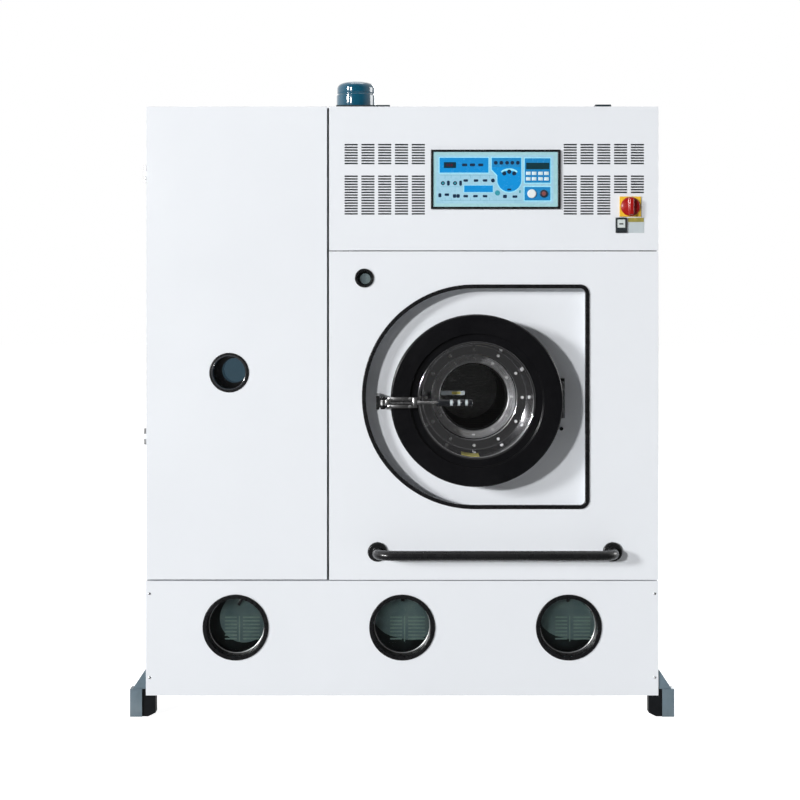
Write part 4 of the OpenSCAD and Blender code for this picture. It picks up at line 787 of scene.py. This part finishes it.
def makeGlassLabel():  # a pale slip on the front of the door glass, above the grip
    slip = plate(roundRect(171, 1053, 80, 14, 1.0), (137.5, 137.95))
    spot = plate(roundRect(182, 1053, 30, 10, 2.0), (137.4, 137.9))
    makePiece("glassLabel", "loading_door", [(slip, "barePlate"), (spot, "labelYellow")])


makeBowl()
makeBowlLabel()
makeGlassRing()
makeDoorBolts()
makeGlassLabel()

# latch

latch = dict(x=-62.0, y=-95.0, z=1036.0, hub=11.0, hubH=18.0, bore=5.1, barMid=12.0, barT=12.0, barD=18.0,
             collarX=34.0, collarW=15.0, rod=4.0, sleeveX=110.0, gripX=154.0, endX=226.0, gripR=13.5,
             ribs=3, band=8.0)


def makeLever():
    c = latch
    at = np.array([0.0, c["y"], c["z"]])
    tall, front, nutX = c["hubH"] / 2, -c["barD"] / 2, c["collarX"] + c["collarW"]
    start = c["x"] + c["hub"] + 4
    length = c["collarX"] - start
    hub = [[c["hub"] - 1, -tall], [c["hub"], 1 - tall], [c["hub"], tall - 1], [c["hub"] - 1, tall],
           [c["bore"], tall], [c["bore"], -tall]]
    shapes = [turned(hub, (c["x"], c["y"], c["z"]), "z", 48),
              softBlock(at + [c["x"] + 15.5, 0, 0], (15, 14, c["hubH"]), 1.2)]
    head = [[0.05, front - 3.2], [3.2, front - 3.2], [4.0, front - 2.4], [4.0, front + 0.5],
            [0.05, front + 0.5]]
    for z in (-c["barMid"], c["barMid"]):
        shapes.append(softBlock(at + [start + length / 2, 0, z], (length, c["barD"], c["barT"]), 1.6))
        for dx in (8.0, length - 9.0):  # bolt heads stand on the bars' front face
            shapes.append(turned(head, at + [start + dx, 0, z], sides=20))
    shapes.append(softBlock(at + [c["collarX"] + c["collarW"] / 2, 0, 0],
                            (c["collarW"], 20, 2 * c["barMid"] + 10), 2.0))
    nut = [[c["rod"], nutX - 0.5], [8.0, nutX - 0.5], [8.0, nutX + 5], [7.0, nutX + 6.5],
           [c["rod"], nutX + 6.5]]
    shapes.append(turned(nut, at, "x", 6))
    rod = [[0.05, start + 6], [c["rod"], start + 6], [c["rod"], c["endX"] - 12], [0.05, c["endX"] - 12]]
    shapes.append(turned(rod, at, "x", 24))
    makePiece("latchBars", "latch", [(shape, "boltSteel") for shape in shapes], ["latch_lever"])


# The grip is a sleeve and three crowned ribs with a pale band before each: a rib's radius is
# gripR - 2.6 |2u - 1|^5 as u runs from 0 to 1 over its width.
def makeGrip():
    c = latch
    r, band, bore, pitch = c["gripR"], c["band"], c["rod"] + 0.2, (c["endX"] - c["gripX"]) / c["ribs"]
    at = (0, c["y"], c["z"])
    u = np.linspace(0, 1, 15)
    sleeve = [[bore, c["sleeveX"]], [r - 4, c["sleeveX"]], [r - 2.2, c["sleeveX"] + 2.5],
              [r - 1.5, c["sleeveX"] + 8], [r - 1.8, c["gripX"] - 2], [r - 4, c["gripX"]], [bore, c["gripX"]]]
    shapes = [(turned(sleeve, at, "x", 48), "gripBlack")]
    for k in range(c["ribs"]):
        x0, x1 = c["gripX"] + k * pitch, c["gripX"] + (k + 1) * pitch
        ring = [[bore, x0 - 0.5], [r - 3.4, x0 - 0.5], [r - 3.4, x0 + band + 0.5], [bore, x0 + band + 0.5]]
        shapes.append((turned(ring, at, "x", 48), "barePlate"))
        crown = np.column_stack([r - 2.6 * np.abs(2 * u - 1) ** 5, x0 + band + u * (x1 - x0 - band)])
        closed = k == c["ribs"] - 1
        core = [[0.05, x1], [0.05, x1 - 9], [bore, x1 - 9]] if closed else [[bore, x1]]
        shapes.append((turned(np.vstack([crown, core, [[bore, x0 + band]]]), at, "x", 48), "gripBlack"))
    makePiece("latchGrip", "latch", shapes, ["latch_grip"], 40)


makeLever()
makeGrip()
print("loading door and latch ready")

# tank windows

windows = dict(z=293.0, glassR=94.0, glassY=40.0, plateR=92.0, plateY=46.4, plateT=1.1, bead=2.0,
               rows=7, rowPitch=11.8)
# how far each window's painted shade reaches in and the angle at which it starts, and its tongue
windowForms = (dict(x=-546.0, fill=0.47, turn=108, tongueX=12, lean=0.45, reach=29, wide=9),
               dict(x=0.0, fill=0.5, turn=178, tongueX=2, lean=0.0, reach=14, wide=13),
               dict(x=546.0, fill=0.5, turn=178, tongueX=2, lean=0.0, reach=16, wide=11))


def makeWindowBeads():
    w = windows
    a = np.linspace(0, 2 * np.pi, 12, endpoint=False)
    bead = np.column_stack([w["glassR"] - 2.2 + w["bead"] * np.cos(a),
                            w["glassY"] - 2.1 + w["bead"] * np.sin(a)])
    shapes = [(turned(bead, (form["x"], 0, w["z"])), "beadSteel") for form in windowForms]
    makePiece("windowBeads", "cabinet", shapes, smooth=80)


# Behind each glass: a plate, two columns of level lines, and a dark shape that paints the shade inside
# the tank, whose depth from the rim is fill * sin(u)^0.8 as u runs from 0 to pi along it.
def makeLevelPlates():
    w = windows
    y, marks = w["plateY"], []
    line, shadow = (y - 0.16, y + 0.3), (y - 0.08, y + 0.3)
    for form in windowForms:
        x = form["x"]
        marks.append((plate(disc(x, w["z"], w["plateR"], 96), (y, y + w["plateT"])), "scalePlate"))
        a = np.linspace(np.radians(form["turn"]), np.radians(335), 60)
        rim = np.column_stack([np.cos(a), np.sin(a)]) * (w["plateR"] - 1)
        reach = 1 - form["fill"] * np.sin(np.linspace(0, np.pi, 60)) ** 0.8
        # the dark shape is painted shade
        shade = np.vstack([rim, (rim * reach[:, None])[::-1]]) + [x, w["z"]]
        marks.append((plate(shade, shadow), "scalePaintedShade"))
        for row in range(w["rows"]):
            z = w["z"] + 24 - w["rowPitch"] * row
            for x0, x1 in ((-40, 0), (20, 76)):
                mark = roundRect(x + (x0 + x1) / 2, z, x1 - x0, 5.0, 1.2, 3)
                marks.append((plate(mark, line), "scaleLine"))
        marks.append((plate(roundRect(x + 8, w["z"] - 14, 4.0, 84, 0.8, 3), line), "scaleLine"))
    makePiece("levelPlates", "cabinet", marks, ["level_scales"])


def makeWindowTicks():  # the dark tongues at the top of the glasses
    w, ticks = windows, []
    for form in windowForms:
        top = w["z"] + w["glassR"] - 2
        at = np.array([form["x"] + form["tongueX"], w["glassY"] - 2.2, top - form["reach"] / 2])
        block = softBlock(at, (form["wide"], 3.6, form["reach"]), 1.6)
        ticks.append((leaned(block, at, form["lean"]), "blackPlastic"))
    makePiece("windowTicks", "cabinet", ticks)


makeWindowBeads()
makeLevelPlates()
makeWindowTicks()

# The two small sights: the paler middle of the upper glass's cup, a disc in the still's neck that glows as
# painted light, and the shiny inner lip of the service door's port. The lip falls away steeply inside and
# slowly outside.
sights = dict(cupX=-121.2, cupZ=1435.8, cupR=17.5, cupY=19.0, portX=-567.0, portZ=1128.0, glowR=41.7,
              glowY=225.0)
portLip = [[53.0, -2.4], [53.3, -4.4], [55.4, -5.4], [58.0, -3.9], [58.0, -3.0], [55.0, -2.4]]


def makeSightBacks():
    c = sights
    back = plate(disc(c["cupX"], c["cupZ"], c["cupR"], 48), (c["cupY"], c["cupY"] + 0.5))
    makePiece("sightBack", "cabinet", [(back, "sightGrey")])
    # this disc glows as painted light
    glowDisc = plate(disc(c["portX"], c["portZ"], c["glowR"], 64), (c["glowY"], c["glowY"] + 1.0))
    makePiece("stillPaintedGlow", "cabinet", [(glowDisc, "stillPaintedGlow")])
    lip = turned(softProfile(portLip, 0.8, 5), (c["portX"], 0, c["portZ"]))
    makePiece("portLip", "service_door", [(lip, "lipGrey")], smooth=60)


makeSightBacks()

# control panel

panel = dict(x=303.5, z=1761.0, face=-5.0)
stop = dict(x=463.5, z=1714, r=7.0, face=-10.0)
# Print of the panel, in millimetres from its middle. A block has a middle, a look, the width, height and
# corner of its field, and those of the pale edge under it. Upright marks are (look, layer, width, height,
# corner) with their middles, and round ones are (look, layer, radius, steps) with theirs.
blocks = (((-101, 46.2), "inkBlue", (160, 48.6, 1.5), (166, 54.6, 3)),
          ((139.8, 29), "inkDeep", (83.7, 80, 1.5), (89.7, 86, 3)),
          ((139.5, -47), "inkDeep", (84.4, 44, 1.5), (90.4, 50, 3)),
          ((-53.5, -31), "inkBlue", (94, 21.5, 1), (98, 25, 2)))
uprights = (
    (("inkDeep", 4, 92, 29, 1.2), ((38, 55),)),
    (("inkNavy", 4, 13, 5.5, 2), ((46.9, -33),)),
    (("displayDark", 4, 40, 19.4, 1.5), ((-147, 46.7),)),
    (("displayRed", 5, 5, 7.5, 1), ((-156, 46.7), (-148.5, 46.7), (-141, 46.7))),
    (("inkNavy", 4, 17, 9, 3), ((-98.9, 47.3), (-73.5, 47.3), (-46.2, 47.3))),
    (("displayDark", 4, 76, 21.5, 1.5), ((140.3, 43.5),)),
    (("inkNavy", 3, 15, 8, 2.5), ((-95.5, -3.8), (-61.9, -3.8), (-32.1, -3.8))),
    (("inkNavy", 3, 9, 17, 4), ((-152.2, -12.5), (-112.1, -12.5))),
    (("inkNavy", 3, 10, 13, 3), ((-180, -52),)),
    (("inkNavy", 3, 15, 8, 2.4), ((-157.2, -50), (-95.5, -55), (-63.5, -55), (-32.1, -55))),
    (("inkNavy", 3, 11, 12, 3.3), ((-132, -54.5), (-120.4, -54.5))),
    (("inkNavy", 3, 13, 11, 3.3), ((33, -56),)),
    (("inkNavy", 3, 16, 8, 2.4), ((65.7, -56.5),)),
    (("inkTeal", 3, 5, 9, 1.5), ((82, -40),)),
)
rounds = (
    (("inkNavy", 5, 6.2, 20), ((3, 54.2), (21.2, 54.2), (40, 54.2), (57.2, 54.2), (75.4, 54.2))),
    (("inkNavy", 5, 6.8, 20), ((30.6, 19.4), (46.9, 25), (63.5, 19.4))),
    (("inkNavy", 3, 6.4, 20), ((-6.4, -3.8),)),
    (("inkNavy", 3, 6.6, 20), ((-170, -12.5), (-130.3, -12.5))),
    (("inkTeal", 4, 3.0, 16), ((-170, -12.5), (-130.3, -12.5))),
    (("inkTeal", 3, 8.5, 28), ((8.6, -44.5),)),
)
dividers = dict(xs=(-163, -143, -112, -80, -48, -17), zs=(8, -65),
                rules=((13, -178, -4), (-24, -178, -106), (-69, -178, 88)))
keyGrid = dict(xs=(109.6, 128.7, 149.7, 169.1), zs=(19.7, 1.6), size=(15, 2.2, 11))


def makeControlPrint():
    shapes = []

    def ink(look, outline, layer):  # each layer of ink stands a little prouder than the last
        o = np.asarray(outline, float) + [panel["x"], panel["z"]]
        shapes.append((plate(o, (panel["face"] - 0.12 * layer, panel["face"] + 0.3)), look))

    ink("fieldPale", roundRect(0, 0, 384, 158, 3), 1)
    for middle, look, field, edge in blocks:
        ink("edgePale", roundRect(*middle, *edge), 2)
        ink(look, roundRect(*middle, *field), 3)
    # the middle block: a bar, a slope on its left and a round lower end
    a = np.linspace(0, np.pi, 40)
    for grow, look, layer in ((3.0, "edgePale", 2), (0.0, "inkBlue", 3)):
        end = np.column_stack([47.2 - (39.2 + grow) * np.cos(a), -1.6 - (39.2 + grow) * np.sin(a)])
        top = [[86.4 + grow, 70.5 + grow], [-10.2 - grow, 70.5 + grow], [-10.2 - grow, 32.5 - grow * 0.4],
               [8.0 - grow, 13.5 - grow]]
        ink(look, np.vstack([top, end]), layer)
    b = np.linspace(np.radians(35), np.radians(145), 24)
    arc = np.vstack([np.column_stack([47 + 33 * np.cos(b), 12 + 24 * np.sin(b)]),
                     np.column_stack([47 + 30 * np.cos(b[::-1]), 12 + 17 * np.sin(b[::-1])])])
    ink("edgePale", arc, 4)
    for (look, layer, w, h, corner), middles in uprights:
        for x, z in middles:
            ink(look, roundRect(x, z, w, h, corner), layer)
    for (look, layer, r, steps), middles in rounds:
        for x, z in middles:
            ink(look, disc(x, z, r, steps), layer)
    for x in dividers["xs"]:  # thin lines that part the cells of keys
        for z in dividers["zs"]:
            ink("inkTeal", roundRect(x, z, 0.6, 9, 0.2, 2), 3)
    for z, x0, x1 in dividers["rules"]:
        ink("inkTeal", roundRect((x0 + x1) / 2, z, x1 - x0, 0.5, 0.2, 2), 3)
    makePiece("controlPrint", "cabinet", shapes)


def makeControlKeys():
    keys = []
    for z in keyGrid["zs"]:
        for x in keyGrid["xs"]:
            at = (panel["x"] + x, panel["face"] - 0.5, panel["z"] + z)
            keys.append((softBlock(at, keyGrid["size"], 0.9), "keyWhite"))
    makePiece("controlKeys", "cabinet", keys)


def makeStopSpot():  # the dull red middle of the stop button
    spot = plate(disc(stop["x"], stop["z"], stop["r"]), (stop["face"] - 0.25, stop["face"] + 0.3))
    makePiece("stopSpot", "stop_button", [(spot, "stopRed")])


makeControlPrint()
makeControlKeys()
makeStopSpot()

# main switch, meter and plate

knob = dict(x=747.0, z=1672.0, r=31.5, base=-5.3, spindle=5.0, inside=28.0)
meter = dict(x=717.0, z=1616.0, w=26.0, h=27.0, rim=2.0, face=-8.0)
strip = dict(x=766, z=1628.5, w=52, h=14, y=(-1.25, -0.6))


def makeKnob():
    k = knob
    r, base = k["r"], k["base"]
    profile = [[0.05, k["inside"]], [k["spindle"], k["inside"]], [k["spindle"], base], [r - 0.6, base],
               [r, base - 0.8], [r, base - 5.5], [r - 1.2, base - 7.6], [r - 3.4, base - 9], [0.05, base - 9]]
    shapes = [(turned(profile, (k["x"], 0, k["z"])), "redPlastic")]
    # the grip narrows towards its front: each level is a rounded bar of its own width
    for w, l, y0, y1 in ((19.0, 2 * r - 5, -8.0, -13.0), (16.5, 2 * r - 7, -12.5, -32.0)):
        bar = softBlock((k["x"], base + (y0 + y1) / 2, k["z"]), (w, y0 - y1, l), 4.0, 5)
        shapes.append((bar, "redPlastic"))
    makePiece("switchKnob", "switch_knob", shapes, ["switch_knob"], 40)


def makeMeter():
    m = meter
    face = plate(roundRect(m["x"], m["z"], m["w"], m["h"], 1.5), (m["face"] - 0.5, m["face"] + 0.5), 0.3)
    makePiece("meterFace", "cabinet", [(face, "meterFace")])
    inner = roundRect(m["x"], m["z"], m["w"], m["h"], 1.5)
    outer = roundRect(m["x"], m["z"], m["w"] + 2 * m["rim"], m["h"] + 2 * m["rim"], 2.5)
    low, high = m["face"] + 0.4, m["face"] - 1.4
    levels = [(inner, low), (inner, high), (outer, high), (outer, low)]
    ring = (stacked(levels), gridFaces(len(levels), len(inner), roundRows=True))
    bar = softBlock((m["x"], m["face"] - 0.9, m["z"] - 1), (13, 1.2, 4.5), 0.4)
    makePiece("meterFrame", "cabinet", [(ring, "meterBlack"), (bar, "meterBlack")])


def makePlateStrip():
    bare = plate(roundRect(strip["x"], strip["z"], strip["w"], strip["h"], 0.8), strip["y"])
    makePiece("plateStrip", "cabinet", [(bare, "stripOlive")])


makeKnob()
makeMeter()
makePlateStrip()

# fan motor

fanMotor = dict(x=-158.0, y=275.0, z=2031.0, r=68.0, h=86.0, groove=43.0, core=10.05)


def makeFanMotor():
    m = fanMotor
    r, g, h, core = m["r"], m["groove"], m["h"], m["core"]
    profile = [[core, 0], [r - 1, 0], [r, 1], [r, g - 3], [r - 3.4, g - 0.5], [r - 4.2, g + 1.5],
               [r - 3.4, g + 3.5], [r - 1.8, g + 5], [r - 1.8, h - 21], [r - 4.0, h - 14], [r - 9.0, h - 8],
               [r - 17.0, h - 4], [r - 28.0, h - 1.2], [r - 40.0, h], [0.05, h], [0.05, g], [core, g]]
    shape = turned(softProfile(profile, 2.5, 5), (m["x"], m["y"], m["z"]), "z", 128)
    makePiece("fanMotorCap", "cabinet", [(shape, "tealPaint")], ["fan_motor"], 50)


makeFanMotor()
print("controls, windows and motor ready")
